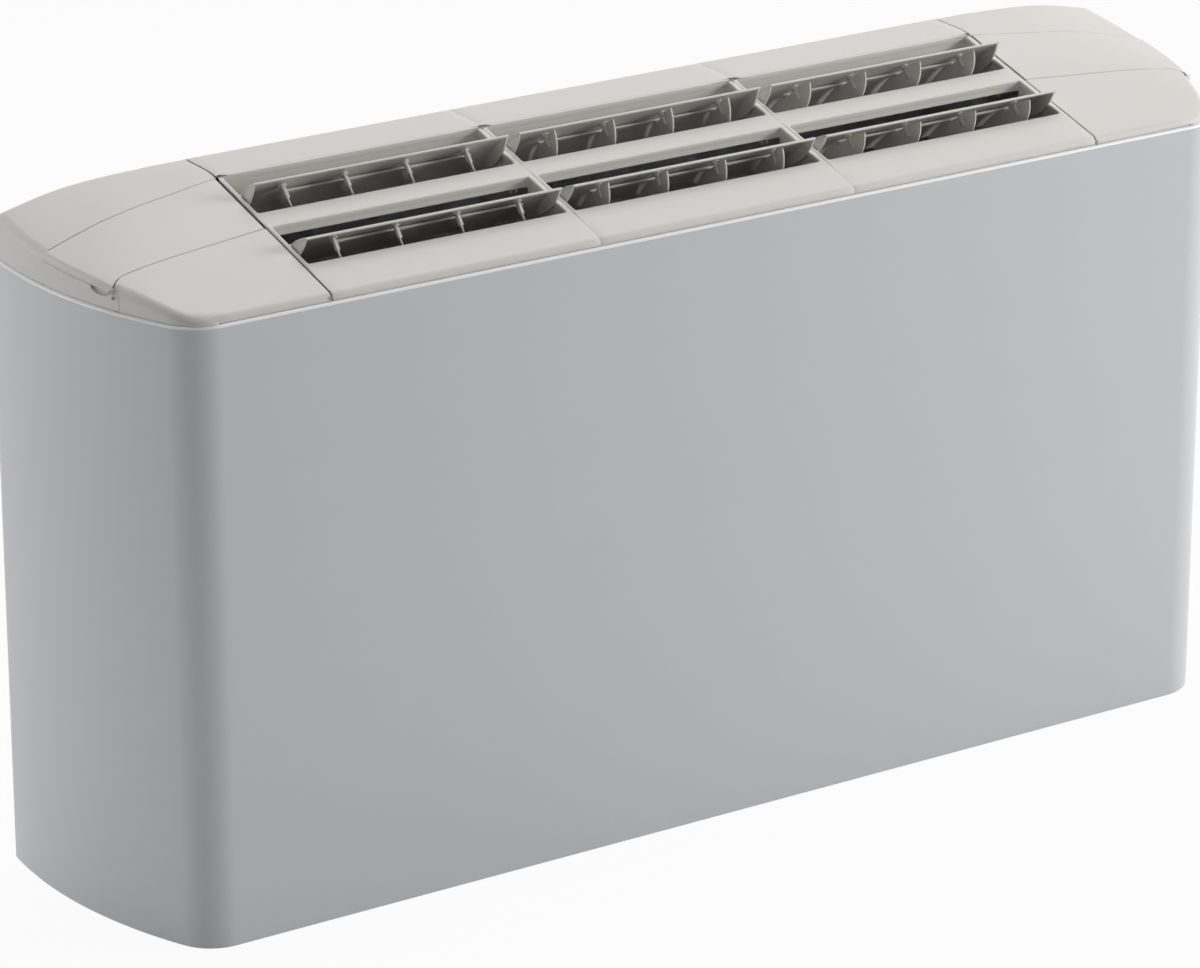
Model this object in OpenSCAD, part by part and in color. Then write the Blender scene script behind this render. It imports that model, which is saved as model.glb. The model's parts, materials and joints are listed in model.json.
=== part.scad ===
// Fan coil unit for floor or low wall mounting.
// A bent sheet cover with bowed sides stands round a galvanised chassis, and a moulded head
// with pivoting louvres and swivelling vanes closes the top.
// Millimetres, X across the width, front towards -Y, Z up, origin at the middle of the base.

/* [Cabinet] */
// Width over the two bowed sides
body_w = 980; // [970:2:1040]
// Depth from the wall to the front face
body_d = 220; // [216:1:240]
// Height of the top rim of the cover
rim_h = 472; // [464:1:520]
// Thickness of the painted cover sheet
cover_t = 1.2; // [0.8:0.1:1.6]
// Radius of the bow of each side
side_r = 360; // [330:5:420]
// Distance of the widest point behind the middle of the depth
bow_y = 65; // [55:1:70]
// Radius of the two front corners
corner_r = 36; // [28:1:44]
// Width of the turned-in flanges at the top and bottom of the cover
flange_w = 12; // [9:1:16]

/* [Head] */
// Slope of the louvre deck, which falls to the front
deck_slope = 14; // [11:0.5:15]
// Height of the front edge of the deck above the rim
deck_lift = 5.5; // [5:0.5:8]
// Wall of the moulded head
head_t = 2.4; // [2:0.1:2.8]
// Step of the head behind the face of the cover
head_step = 2; // [1:0.5:3]
// Width of one grille moulding
module_w = 222; // [214:1:226]
// Gap between neighbouring grille mouldings
seam_gap = 0.4; // [0.3:0.1:0.8]
// Gap between the grilles and the end caps
cap_gap = 1.4; // [1:0.2:2]
// Width of the bar in front of the front slot
front_bar = 41.6; // [36:0.2:44]
// Width of each louvre slot along the deck
slot_w = 53; // [52:0.5:54]
// Width of the bar between the two slots
mid_bar = 20; // [16:0.5:22]
// Width of the bar between the back slot and the ridge
back_bar = 8.4; // [6:0.2:10]
// Width of the end wall of a slot
slot_end = 3.7; // [3.2:0.1:4.5]
// Thickness of the long walls of a slot
slot_skirt = 2; // [1.6:0.1:2.6]
// Depth of the slot walls below the deck
slot_depth = 27; // [22:0.5:30]
// Radius of the rounded front edge
front_round = 6; // [4:0.5:6.5]
// Radius of the soft ridge behind the louvres
ridge_round = 60; // [20:5:80]
// Radius of the rounded back edge
back_round = 12; // [6:1:16]
// Radius of the crown that lets the end caps fall to the sides
crown_r = 600; // [550:10:900]
// Slope of the crown from front to back
crown_slope = 7; // [6:0.5:8]

/* [Doors] */
// Distance of the back seam of a door behind the middle, at the hinge
door_back_y = 54; // [50:1:56]
// Distance of the front seam of a door in front of the middle, at the hinge
door_front_y = 16; // [10:1:22]
// How far the back seam runs forward towards the side
door_back_run = 24; // [10:1:30]
// How far the front seam runs forward towards the side
door_front_run = 21; // [10:1:30]
// Length of the tab at the outer end of a door's front seam
tab_l = 13; // [10:0.5:18]
// How far the tab reaches forward
tab_reach = 6; // [3:0.5:8]
// Gap round a door
door_gap = 0.8; // [0.6:0.1:1.2]
// Radius of the finger notch under a door
notch_r = 11; // [8:1:13]
// Depth of the finger notch below a door
notch_depth = 6; // [4:0.5:6.5]
// Radius of the door's hinge pins
hinge_r = 1.2; // [1:0.1:1.3]
// Distance of the hinge axis from the inner edge of a door
hinge_inset = 3; // [2.5:0.5:4]
// Depth of the hinge axis below the deck
hinge_drop = 1.8; // [1.7:0.1:2]
// Length of each hinge pin beyond the door
hinge_pin = 4; // [3:0.5:5]

/* [Louvres] */
// Opening of the front row of louvres from closed
open_front = 52; // [0:1:80]
// Opening of the back row of louvres from closed
open_back = 60; // [0:1:80]
// Depth of the louvre axis below the deck
pivot_drop = 2; // [1.5:0.1:3]
// Radius of the louvre pivots
pivot_r = 2; // [1.5:0.1:2.2]
// Gap between a louvre blade and the long slot walls
blade_gap = 1; // [0.9:0.1:2]
// Gap between a louvre and the slot ends
blade_end_gap = 0.8; // [0.5:0.1:1.5]
// Radius of the curved blade
blade_r = 67.5; // [60:0.5:90]
// Thickness of the blade
blade_t = 1.8; // [1.4:0.1:2]
// Height of the crown of the blade above its axis
blade_top = 1.6; // [1.2:0.1:1.8]
// Depth of the end plates below the axis
end_plate_drop = 10; // [8:0.5:12]
// Thickness of the end plates
end_plate_t = 1.6; // [1.2:0.1:2]

/* [Vanes] */
// Turn of the vanes in the left grille
turn_left = -30; // [-45:1:45]
// Turn of the vanes in the middle grille
turn_middle = 0; // [-45:1:45]
// Turn of the vanes in the right grille
turn_right = 25; // [-45:1:45]
// Number of vanes on each louvre
vane_count = 4; // [2:1:4]
// Distance between two vanes
vane_pitch = 51; // [44:1:54]
// Radius of the round edge of a vane, measured from the louvre axis
vane_r = 24; // [22:0.5:25]
// Thickness of a vane
vane_t = 1.5; // [1.2:0.1:1.8]
// Gap between a vane and the blade
vane_gap = 1.5; // [1.2:0.1:2]
// Distance of the swivel axis in front of the middle of the blade
swivel_y = 9; // [8:0.5:10]
// Radius of the swivel pin of a vane
vane_pin_r = 1.1; // [0.9:0.1:1.2]
// Radius of the hub round the foot of the swivel pin
hub_r = 2; // [1.6:0.1:2.4]
// Length of the hub
hub_l = 8; // [6:0.5:10]
// Radius of the boss of the blade that holds a swivel pin
boss_r = 3; // [2.4:0.1:3.2]
// Depth of the boss below the louvre axis
boss_drop = 3.2; // [2.8:0.1:3.6]
// Distance of the tie bar's pins from the swivel axis
tie_arm = 9; // [8.5:0.1:10]
// Depth of the tie bar below the louvre axis
tie_drop = 2; // [1.9:0.1:2.4]
// Thickness of the tie bar
tie_t = 1.6; // [1.2:0.1:1.8]
// Width of the tie bar
tie_w = 3; // [2.6:0.1:3.4]
// Radius of the tie bar's pins
tie_pin_r = 0.7; // [0.6:0.05:0.8]

/* [Chassis] */
// Thickness of the galvanised sheet
sheet_t = 1.2; // [1:0.1:1.6]
// Distance of each shoulder from the middle
shoulder_x = 336; // [330:1:350]
// Width of the flanges of the chassis
chassis_flange = 14; // [12:1:18]
// Width between the wall fixing holes
wall_hole_w = 560; // [480:10:600]
// Distance of the upper wall fixing holes below the rim
wall_hole_top = 42; // [40:1:60]
// Height of the lower wall fixing holes
wall_hole_z = 130; // [110:5:140]
// Radius of the wall fixing holes
wall_hole_r = 4.5; // [3:0.5:6]
// Width of the bars beside a service opening in the back
service_bar = 27; // [20:1:34]
// Height of the service openings in the back
service_h = 170; // [140:5:200]
// Height of the lower edge of the service openings
service_z = 60; // [40:5:90]
// Radius of a sheet screw
screw_r = 2; // [1.5:0.1:2.5]

/* [Fans] */
// Height of the fan shaft
fan_z = 106; // [104:1:112]
// Distance of each fan from the middle
fan_x = 190; // [180:1:200]
// Radius of the fan wheels
wheel_r = 58; // [54:1:60]
// Width of the fan wheels
wheel_w = 150; // [130:2:160]
// Number of blades on each half wheel
wheel_blades = 30; // [20:1:36]
// Depth of the ring of blades
wheel_ring = 10; // [8:0.5:12]
// Gap between the wheel and the tongue of the scroll
scroll_gap = 7; // [6:0.5:8]
// Width of the bar between the window of a scroll and the front of the fan deck
throat_bar = 1.5; // [1.2:0.1:2.5]
// Radius of the fan shaft
shaft_r = 5; // [4:0.5:6]
// Radius of the motor
motor_r = 46; // [40:1:48]
// Length of the motor
motor_l = 110; // [90:2:120]
// Height of the fan deck
fan_deck_z = 206; // [204:1:212]

/* [Coil] */
// Tilt of the coil towards the front
coil_tilt = 29; // [26:0.5:31]
// Room between the top of the fin pack and the rim
coil_room = 30; // [28:1:48]
// Thickness of the fin pack
coil_t = 44; // [40:1:46]
// Distance between two fins as drawn
fin_pitch = 8; // [6:0.5:12]
// Thickness of a fin as drawn
fin_t = 2.4; // [1.5:0.1:3]
// Depth of the gaps between the fins
fin_depth = 5; // [3:0.5:5.5]
// Space for the return bends at each end of the fin pack
coil_end = 34; // [30:1:40]
// Radius of the copper tubes
tube_r = 4.8; // [4:0.1:5]
// Number of tubes in each row
tube_count = 8; // [6:2:8]
// Distance of the outer tubes of a row from the edge of the fin pack
tube_edge = 23.5; // [22:0.5:26]
// Radius of the water connections
union_r = 12; // [11:0.5:14]
// Radius of the bore of the water connections
union_bore_r = 8; // [6:0.5:9]
// Length of the water connections outside the shoulder
union_l = 30; // [20:1:40]
// Radius of the drain spigot
drain_r = 9; // [7:0.5:10]
// Length of the drain spigot outside the shoulder
drain_l = 32; // [20:1:40]

/* [Filter and controls] */
// Thickness of the filter frame
filter_t = 8; // [6:0.5:9]
// Width of the bars of the filter frame
filter_bar = 12; // [8:1:16]
// Width of the control box beside the right shoulder
control_w = 112; // [90:2:120]
// Depth of the control box from front to back
control_d = 84; // [70:2:90]
// Height of the control box
control_h = 62; // [50:2:70]
// Depth of the top of the control box below the rim
control_drop = 14; // [12:1:30]
// Radius of the control knob
knob_r = 15; // [12:0.5:18]
// Height of the control knob
knob_h = 11; // [8:0.5:14]

/* [Hidden] */
// Radial clearance of a pin that turns in a bore
run_fit = 0.06;
// Gap left at a seat that does not touch
seat_gap = 0.3;
// Overlap that joins two solids of one piece
join = 0.2;
// Length by which a cut runs past a face
past = 1;
arc_steps = 6;
$fn = 48;

half_w = body_w / 2;
front_y = -body_d / 2;
back_y = body_d / 2;
run_w = 3 * module_w;
cap_x = run_w / 2 + cap_gap;

// The deck starts at the front wall of the head and rises along its slope to the ridge.
deck_y = front_y + head_step;
deck_z = rim_h + deck_lift;
ridge_s = front_bar + 2 * slot_w + mid_bar + back_bar;
ridge_y = deck_y + ridge_s * cos(deck_slope);
ridge_z = deck_z + ridge_s * sin(deck_slope);
slot_s = [front_bar, front_bar + slot_w + mid_bar];
slot_len = module_w - seam_gap - 2 * slot_end;
louvre_open = [open_front, open_back];
vane_turn = [turn_left, turn_middle, turn_right];

// Front corner of the plan: its centre touches the bow of the side and the front face.
corner_y = front_y + corner_r;
corner_x = half_w - side_r + sqrt(pow(side_r - corner_r, 2) - pow(corner_y - bow_y, 2));

// Half the width of the back panel, which lies between the ends of the cover's bowed sides
panel_half = half_w - side_r + sqrt(pow(side_r - cover_t, 2) - pow(back_y - bow_y, 2)) - seat_gap;

blade_half = slot_w / 2 - blade_gap;
blade_len = slot_len - 2 * blade_end_gap;
blade_cz = blade_top - blade_r;
vane_fit_gap = 0.5;
vane_limit = 45;
tie_room = (tie_w / 2 + vane_t / 2 * sin(vane_limit)) / cos(vane_limit) + vane_fit_gap;
vane_notch = max(boss_drop, tie_drop + tie_t) + vane_fit_gap;
well_depth = 3 * head_t;
well_w = 3 * hinge_inset;
swing_gap = 2.5 * door_gap;
side_x = half_w - head_step;

shaft_y = 0;
scroll_r0 = wheel_r + scroll_gap;
scroll_start = 80;
scroll_step = 10;
scroll_steps = 26;
scroll_front = body_d / 2 - cover_t - flange_w - throat_bar;
scroll_growth = (scroll_front - scroll_r0) * 360 / (scroll_steps * scroll_step);
scroll_side = 10;
scroll_w = wheel_w + 2 * scroll_side;
throat_back = 8;
throat_d = scroll_front - throat_back;
throat_h = fan_deck_z - fan_z;
filter_z = 5;
pan_front = 22;
pan_gap = 10;
pan_back = back_y - pan_gap;
pan_h = 34;
coil_back = 50;
coil_rise = 30;
coil_y = back_y - coil_back;
coil_z = fan_deck_z + sheet_t + coil_rise;
coil_h = round((rim_h - coil_room - coil_z - coil_t / 2 * sin(coil_tilt)) / cos(coil_tilt));
coil_half = shoulder_x - sheet_t - coil_end;
tube_row = 11;
tube_pitch = (coil_h - 2 * tube_edge) / (tube_count - 1);
wall_hole_h = rim_h - wall_hole_z - wall_hole_top;
control_top = rim_h - control_drop;
stem_r = knob_r / 4;

SIDES = ["left", "middle", "right"];
ROWS = ["front", "back"];

paint = [0.72, 0.73, 0.74];
moulding = [0.80, 0.80, 0.78];
zinc = [0.62, 0.64, 0.66];

function arc(c, r, a0, a1) = [
    for (k = [0:arc_steps]) let (a = a0 + (a1 - a0) * k / arc_steps) c + r * [cos(a), sin(a)]
];
function column_x(col) = (col - 1) * module_w;
function slot_mid(row) = slot_s[row] + slot_w / 2;
function vane_x(k) = (k - (vane_count - 1) / 2) * vane_pitch;

// Height of an arc about the blade's centre, over the distance y from the middle of the blade
function blade_z(r, y) = blade_cz + sqrt(pow(r, 2) - pow(y, 2));

// Depth of a door's seam, which starts at the hinge and runs forward towards the side.
function door_seam(x, start, run) = start - run * (x - cap_x) / (half_w - cap_x);

// Height of the crown over a point of the plan.
function crown_z(x, y) = ridge_z + (y - ridge_y) * tan(crown_slope)
    - (crown_r - sqrt(pow(crown_r, 2) - pow(x - run_w / 2, 2))) / cos(crown_slope);

// Section of the head from front wall to back wall, moved inwards by inset.
function head_section(inset) = let (
    a = deck_slope,
    foot = rim_h - (inset > 0 ? past : 0),
    front_c = [deck_y + front_round, deck_z - front_round * (1 - sin(a)) / cos(a)],
    ridge_c = [ridge_y + ridge_round * tan(a / 2), ridge_z - ridge_round],
    back_c = [back_y - back_round, ridge_z - back_round]
) concat(
    [[deck_y + inset, foot]],
    arc(front_c, front_round - inset, 180, 90 + a),
    arc(ridge_c, ridge_round - inset, 90 + a, 90),
    arc(back_c, back_round - inset, 90, 0),
    [[back_y - inset, foot]]
);

// Outline of a scroll in Y and Z round the shaft, moved inwards by inset.
function scroll_section(inset) = concat(
    [for (k = [0:scroll_steps]) let (
        turn = scroll_step * k,
        r = scroll_r0 + scroll_growth * turn / 360 - inset
    ) r * [cos(scroll_start - turn), sin(scroll_start - turn)]],
    [[-scroll_front + inset, throat_h + (inset > 0 ? past : 0)]],
    [[-throat_back - inset, throat_h + (inset > 0 ? past : 0)]]
);

module along_x(x0, x1) {
    translate([x0, 0, 0]) rotate([90, 0, 90]) linear_extrude(x1 - x0) children();
}

module on_deck() {
    translate([0, deck_y, deck_z]) rotate([deck_slope, 0, 0]) children();
}

module at_louvre(row, col) {
    on_deck()
        translate([column_x(col), slot_mid(row), -pivot_drop])
            rotate([-louvre_open[row], 0, 0]) children();
}

module both_sides() {
    children();
    mirror([1, 0, 0]) children();
}

// Plan of the cabinet, moved inwards by inset, open or closed past the back.
module plan(inset, back) {
    both_sides() difference() {
        intersection() {
            translate([half_w - side_r, bow_y]) circle(side_r - inset, $fn = 360);
            translate([-past, front_y + inset]) square([half_w + past, back - front_y - inset]);
        }
        difference() {
            polygon([
                [corner_x, corner_y],
                [corner_x, front_y - past],
                [half_w + past, front_y - past],
                [half_w + past, corner_y + (half_w + past - corner_x) * (corner_y - bow_y)
                    / (corner_x - half_w + side_r)]
            ]);
            translate([corner_x, corner_y]) circle(corner_r - inset, $fn = 96);
        }
    }
}

module cabinet_cover() {
    color(paint) difference() {
        linear_extrude(rim_h) plan(0, back_y);
        translate([0, 0, cover_t]) linear_extrude(rim_h - 2 * cover_t) plan(cover_t, back_y + past);
        translate([0, 0, -past]) linear_extrude(rim_h + 2 * past) plan(flange_w, back_y + past);
        translate([-panel_half - seat_gap, back_y - sheet_t - seat_gap, -past])
            cube([2 * (panel_half + seat_gap), body_d, rim_h + 2 * past]);
    }
}

// Outer form of the right end cap: plan, section and crown together, moved inwards by inset.
// Its end towards the grilles is moved inwards by end_wall.
module cap_form(inset, end_wall) {
    foot = rim_h - (inset > 0 ? past : 0);
    intersection() {
        translate([0, 0, foot]) linear_extrude(ridge_z) plan(head_step + inset, back_y - inset);
        along_x(cap_x + end_wall, half_w) polygon(head_section(inset));
        translate([0, ridge_y, ridge_z]) rotate([crown_slope, 0, 0])
            rotate([90, 0, 0]) linear_extrude(2 * body_d, center = true)
                translate([run_w / 2, -crown_r]) circle(crown_r - inset, $fn = 360);
    }
}

// Plan of a door, grown by gap at its seams. It runs past the side, and its front seam ends in a tab.
module door_plan(gap) {
    far = half_w + past;
    bend_x = side_x - tab_l;
    tab_x = side_x - tab_l / 2;
    polygon([
        [cap_x + door_gap - 2 * gap, door_back_y + gap],
        [far, door_seam(far, door_back_y, door_back_run) + gap],
        [far, door_seam(far, -door_front_y, door_front_run) - tab_reach - gap],
        [tab_x, door_seam(tab_x, -door_front_y, door_front_run) - tab_reach - gap],
        [bend_x, door_seam(bend_x, -door_front_y, door_front_run) - gap],
        [cap_x + door_gap - 2 * gap, -door_front_y - gap]
    ]);
}

module door_prism(gap) {
    translate([0, 0, rim_h]) linear_extrude(2 * (ridge_z - rim_h)) door_plan(gap);
}

// The cap's form, sunk by depth and a little wider than the cap.
module sunk_form(depth) {
    translate([0, 0, -depth - past]) cap_form(-past, -past);
}

// Room for a door: down to the gap under it, and deeper beside the hinge, where its inner edge swings.
module door_well() {
    difference() {
        door_prism(door_gap);
        sunk_form(head_t + door_gap);
    }
    difference() {
        intersection() {
            door_prism(swing_gap);
            translate([cap_x - past, front_y, rim_h]) cube([well_w + past, body_d, ridge_z]);
        }
        sunk_form(well_depth);
    }
}

module hinge_axis(radius, extra) {
    length = (door_back_y + door_front_y) / cos(deck_slope) + 2 * extra;
    start = (-door_front_y - deck_y) / cos(deck_slope) - extra;
    on_deck() translate([cap_x + door_gap + hinge_inset, start, -hinge_drop])
        rotate([-90, 0, 0]) cylinder(r = radius, h = length);
}

module end_cap() {
    eye = 2 * hinge_r + head_t;
    eye_len = hinge_pin + join + past - door_gap;
    door_len = (door_back_y + door_front_y) / cos(deck_slope);
    door_start = (-door_front_y - deck_y) / cos(deck_slope);
    notch_y = door_seam(side_x, -door_front_y, door_front_run) - tab_reach + 1.1 * notch_r;
    notch_z = crown_z(side_x, notch_y) - head_t - door_gap + notch_r - notch_depth;
    difference() {
        union() {
            difference() {
                cap_form(0, 0);
                cap_form(head_t, head_t);
                door_well();
            }
            difference() {
                intersection() {
                    cap_form(head_t / 2, 0);
                    on_deck() for (s = [door_start - door_gap - eye_len, door_start + door_len + door_gap])
                        translate([cap_x, s, -hinge_drop - eye / 2])
                            cube([door_gap + hinge_inset + eye / 2, eye_len, eye]);
                }
                door_prism(swing_gap);
            }
        }
        hinge_axis(hinge_r + run_fit, hinge_pin + join);
        translate([side_x, notch_y, notch_z])
            rotate([0, 90, 0]) cylinder(r = notch_r, h = 4 * head_t, center = true);
    }
}

module left_end_cap() {
    color(moulding) mirror([1, 0, 0]) end_cap();
}

module right_end_cap() {
    color(moulding) end_cap();
}

// A door is a lid of the cap's own form, with a hinge pin at each end of its inner edge.
module door() {
    intersection() {
        difference() {
            cap_form(0, 0);
            sunk_form(head_t);
        }
        door_prism(0);
    }
    hinge_axis(hinge_r, hinge_pin);
}

module left_door() {
    color(moulding) mirror([1, 0, 0]) door();
}

module right_door() {
    color(moulding) door();
}

module grille(col) {
    x0 = column_x(col) - module_w / 2 + seam_gap / 2;
    x1 = x0 + module_w - seam_gap;
    color(moulding) difference() {
        union() {
            difference() {
                along_x(x0, x1) polygon(head_section(0));
                along_x(x0 - past, x1 + past) polygon(head_section(head_t));
            }
            on_deck() for (s = slot_s)
                translate([x0, s - slot_skirt, -slot_depth])
                    cube([x1 - x0, slot_w + 2 * slot_skirt, slot_depth - head_t / 2]);
        }
        on_deck() for (row = [0, 1]) {
            translate([x0 + slot_end, slot_s[row], -slot_depth - past])
                cube([slot_len, slot_w, slot_depth + 2 * past]);
            translate([x0 - past, slot_mid(row), -pivot_drop]) rotate([0, 90, 0])
                cylinder(r = pivot_r + run_fit, h = module_w + 2 * past);
        }
    }
}

// A louvre is a curved blade with lens-shaped end plates, two pivots and a bored boss per vane.
module louvre(row, col) {
    sag = 0.7 * end_plate_drop;
    plate_r = (pow(blade_half, 2) + pow(sag, 2)) / (2 * sag);
    pin_l = blade_end_gap + slot_end - seam_gap;
    color(moulding) at_louvre(row, col) difference() {
        union() {
            along_x(-blade_len / 2, blade_len / 2) intersection() {
                translate([0, blade_cz]) difference() {
                    circle(blade_r, $fn = 240);
                    circle(blade_r - blade_t, $fn = 240);
                }
                translate([-blade_half, -blade_r / 4]) square([2 * blade_half, blade_r / 2]);
            }
            for (x = [-blade_len / 2, blade_len / 2 - end_plate_t])
                along_x(x, x + end_plate_t) intersection() {
                    translate([0, blade_cz]) circle(blade_r - blade_t / 2, $fn = 240);
                    translate([0, plate_r - end_plate_drop]) circle(plate_r, $fn = 240);
                    square([2 * blade_half, 4 * end_plate_drop], center = true);
                }
            for (x = [-blade_len / 2 - pin_l, blade_len / 2 - end_plate_t])
                translate([x, 0, 0]) rotate([0, 90, 0]) cylinder(r = pivot_r, h = pin_l + end_plate_t);
            for (k = [0:vane_count - 1])
                translate([vane_x(k), -swivel_y, -boss_drop])
                    cylinder(r = boss_r, h = boss_drop + blade_z(blade_r - blade_t / 2, swivel_y));
        }
        for (k = [0:vane_count - 1])
            translate([vane_x(k), -swivel_y, -boss_drop - past])
                cylinder(r = vane_pin_r + run_fit, h = boss_drop + blade_top + 2 * past);
    }
}

module at_vane(row, col, k) {
    at_louvre(row, col)
        translate([vane_x(k), -swivel_y, 0]) rotate([0, 0, vane_turn[col]]) children();
}

// A vane is a half disc that swivels in a boss of the blade. Its notched top clears boss and tie bar.
module vane(row, col, k) {
    notch_start = -boss_r - vane_fit_gap;
    notch_end = tie_arm + tie_room;
    pin_top = blade_z(blade_r, swivel_y) - vane_fit_gap;
    color(moulding) at_vane(row, col, k) {
        along_x(-vane_t / 2, vane_t / 2) difference() {
            translate([swivel_y, 0]) intersection() {
                circle(vane_r, $fn = 96);
                translate([0, blade_cz]) circle(blade_r - blade_t - vane_gap, $fn = 240);
            }
            translate([notch_start, -vane_notch]) square([notch_end - notch_start, 2 * vane_notch]);
        }
        translate([0, 0, -vane_notch - hub_l]) {
            cylinder(r = hub_r, h = hub_l);
            cylinder(r = vane_pin_r, h = hub_l + vane_notch + pin_top);
        }
        translate([0, tie_arm, -2 * vane_notch]) cylinder(r = tie_pin_r, h = 2 * vane_notch - tie_drop);
    }
}

module tie_bar(row, col) {
    turn = vane_turn[col];
    length = (vane_count - 1) * vane_pitch + 2 * tie_w;
    color(moulding) at_louvre(row, col)
        translate([-tie_arm * sin(turn), tie_arm * cos(turn) - swivel_y, -tie_drop - tie_t]) difference() {
            translate([-length / 2, -tie_w / 2, 0]) cube([length, tie_w, tie_t]);
            for (k = [0:vane_count - 1])
                translate([vane_x(k), 0, -past]) cylinder(r = tie_pin_r + run_fit, h = tie_t + 2 * past);
        }
}

// The back panel closes the back and carries the whole unit on four wall fixings.
module back_panel() {
    service_x = (panel_half + shoulder_x) / 2;
    service_w = panel_half - shoulder_x - 2 * service_bar;
    color(zinc) difference() {
        union() {
            translate([-panel_half, back_y - sheet_t, 0]) cube([2 * panel_half, sheet_t, rim_h]);
            for (z = [0, rim_h - sheet_t])
                translate([-shoulder_x, back_y - chassis_flange, z])
                    cube([2 * shoulder_x, chassis_flange, sheet_t]);
        }
        for (x = [-1, 1]) for (z = [0, 1])
            translate([x * wall_hole_w / 2, back_y + past, wall_hole_z + z * wall_hole_h])
                rotate([90, 0, 0]) cylinder(r = wall_hole_r, h = sheet_t + 2 * past);
        for (x = [-1, 1])
            translate([x * service_x - service_w / 2, back_y - sheet_t - past, service_z])
                cube([service_w, sheet_t + 2 * past, service_h]);
        screw_places() screw_hole();
    }
}

// Places of the sheet screws that hold the shoulders to the back panel.
module screw_places() {
    for (x = [-1, 1]) for (z = [0.25, 0.75])
        translate([x * (shoulder_x + chassis_flange / 2), back_y - 2 * sheet_t, z * rim_h]) children();
}

module screw_hole() {
    rotate([90, 0, 0]) cylinder(r = screw_r + run_fit, h = 4 * chassis_flange, center = true);
}

// A shoulder is a side plate with flanges to the back panel and under the filter.
module shoulder() {
    top = rim_h - sheet_t - seat_gap;
    depth = body_d - cover_t - flange_w - sheet_t;
    difference() {
        union() {
            translate([shoulder_x - sheet_t, back_y - sheet_t - depth, filter_z - sheet_t])
                cube([sheet_t, depth, top - filter_z + sheet_t]);
            translate([shoulder_x - sheet_t, back_y - 2 * sheet_t, filter_z])
                cube([chassis_flange + sheet_t, sheet_t, top - filter_z]);
            translate([shoulder_x - 2 * chassis_flange, back_y - sheet_t - depth, filter_z - sheet_t])
                cube([2 * chassis_flange, depth, sheet_t]);
        }
        screw_places() screw_hole();
    }
}

module left_shoulder() {
    color(zinc) difference() {
        mirror([1, 0, 0]) shoulder();
        in_coil() for (k = [0, tube_count - 1]) translate([-body_w / 2, 0, tube_edge + k * tube_pitch])
            rotate([0, 90, 0]) cylinder(r = union_r + seat_gap, h = body_w / 2);
        drain_axis() cylinder(r = drain_r + seat_gap, h = body_w);
    }
}

module right_shoulder() {
    color(zinc) shoulder();
}

module in_coil() {
    translate([0, coil_y, coil_z]) rotate([coil_tilt, 0, 0]) children();
}

// The fin pack: a comb section along the unit, drilled for the tubes, between two end sheets.
module coil_fins() {
    fins = floor(2 * coil_half / fin_pitch);
    start = -fins * fin_pitch / 2;
    deep = coil_t / 2 - fin_depth;
    end_sheet = 2;
    edge = [for (k = [0:fins - 1]) let (x = start + k * fin_pitch)
        each [[x, deep], [x, coil_t / 2], [x + fin_t, coil_t / 2], [x + fin_t, deep]]];
    lower = [for (k = [len(edge) - 1:-1:0]) [edge[k][0], -edge[k][1]]];
    color("silver") in_coil() difference() {
        union() {
            linear_extrude(coil_h) polygon(concat(edge, lower));
            both_sides() translate([coil_half - fin_pitch, coil_t / 2 - fin_depth, 0])
                cube([coil_end + fin_pitch - seat_gap, end_sheet, coil_h]);
        }
        for (y = [-tube_row, tube_row]) for (k = [0:tube_count - 1])
            translate([0, y, tube_edge + k * tube_pitch]) rotate([0, 90, 0])
                cylinder(r = tube_r + run_fit, h = body_w, center = true);
    }
}

// Two rows of tubes with return bends, joined at the left end by a collector for each water connection.
module coil_tubes() {
    bend_start = 6;
    collector_r = tube_r + 3;
    bend_x = coil_half + bend_start;
    header_x = coil_half + coil_end / 2;
    color("peru") in_coil() difference() {
        union() {
            for (y = [-tube_row, tube_row]) for (k = [0:tube_count - 1]) {
                translate([0, y, tube_edge + k * tube_pitch]) rotate([0, 90, 0])
                    cylinder(r = tube_r, h = 2 * bend_x, center = true);
                if (k < tube_count - 1)
                    translate([k % 2 == 0 ? bend_x : -bend_x, y, tube_edge + (k + 0.5) * tube_pitch])
                        rotate([90, k % 2 == 0 ? 90 : -90, 0])
                            rotate_extrude(angle = 180) translate([tube_pitch / 2, 0]) circle(tube_r);
            }
            for (k = [0, tube_count - 1]) translate([0, 0, tube_edge + k * tube_pitch]) {
                for (y = [-tube_row, tube_row]) translate([-header_x, y, 0]) rotate([0, 90, 0])
                    cylinder(r = tube_r, h = header_x - bend_x + join);
                translate([-header_x, 0, 0]) rotate([90, 0, 0])
                    cylinder(r = collector_r, h = 2 * tube_row + 2 * tube_r, center = true);
                translate([-shoulder_x - union_l, 0, 0]) rotate([0, 90, 0])
                    cylinder(r = union_r, h = union_l + shoulder_x - header_x);
            }
        }
        for (k = [0, tube_count - 1])
            translate([-shoulder_x - union_l - past, 0, tube_edge + k * tube_pitch])
                rotate([0, 90, 0]) cylinder(r = union_bore_r, h = union_l + past);
    }
}

module drain_axis() {
    z = fan_deck_z + sheet_t + drain_r + seat_gap;
    translate([-shoulder_x - drain_l, (pan_front + pan_back) / 2, z]) rotate([0, 90, 0]) children();
}

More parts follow.
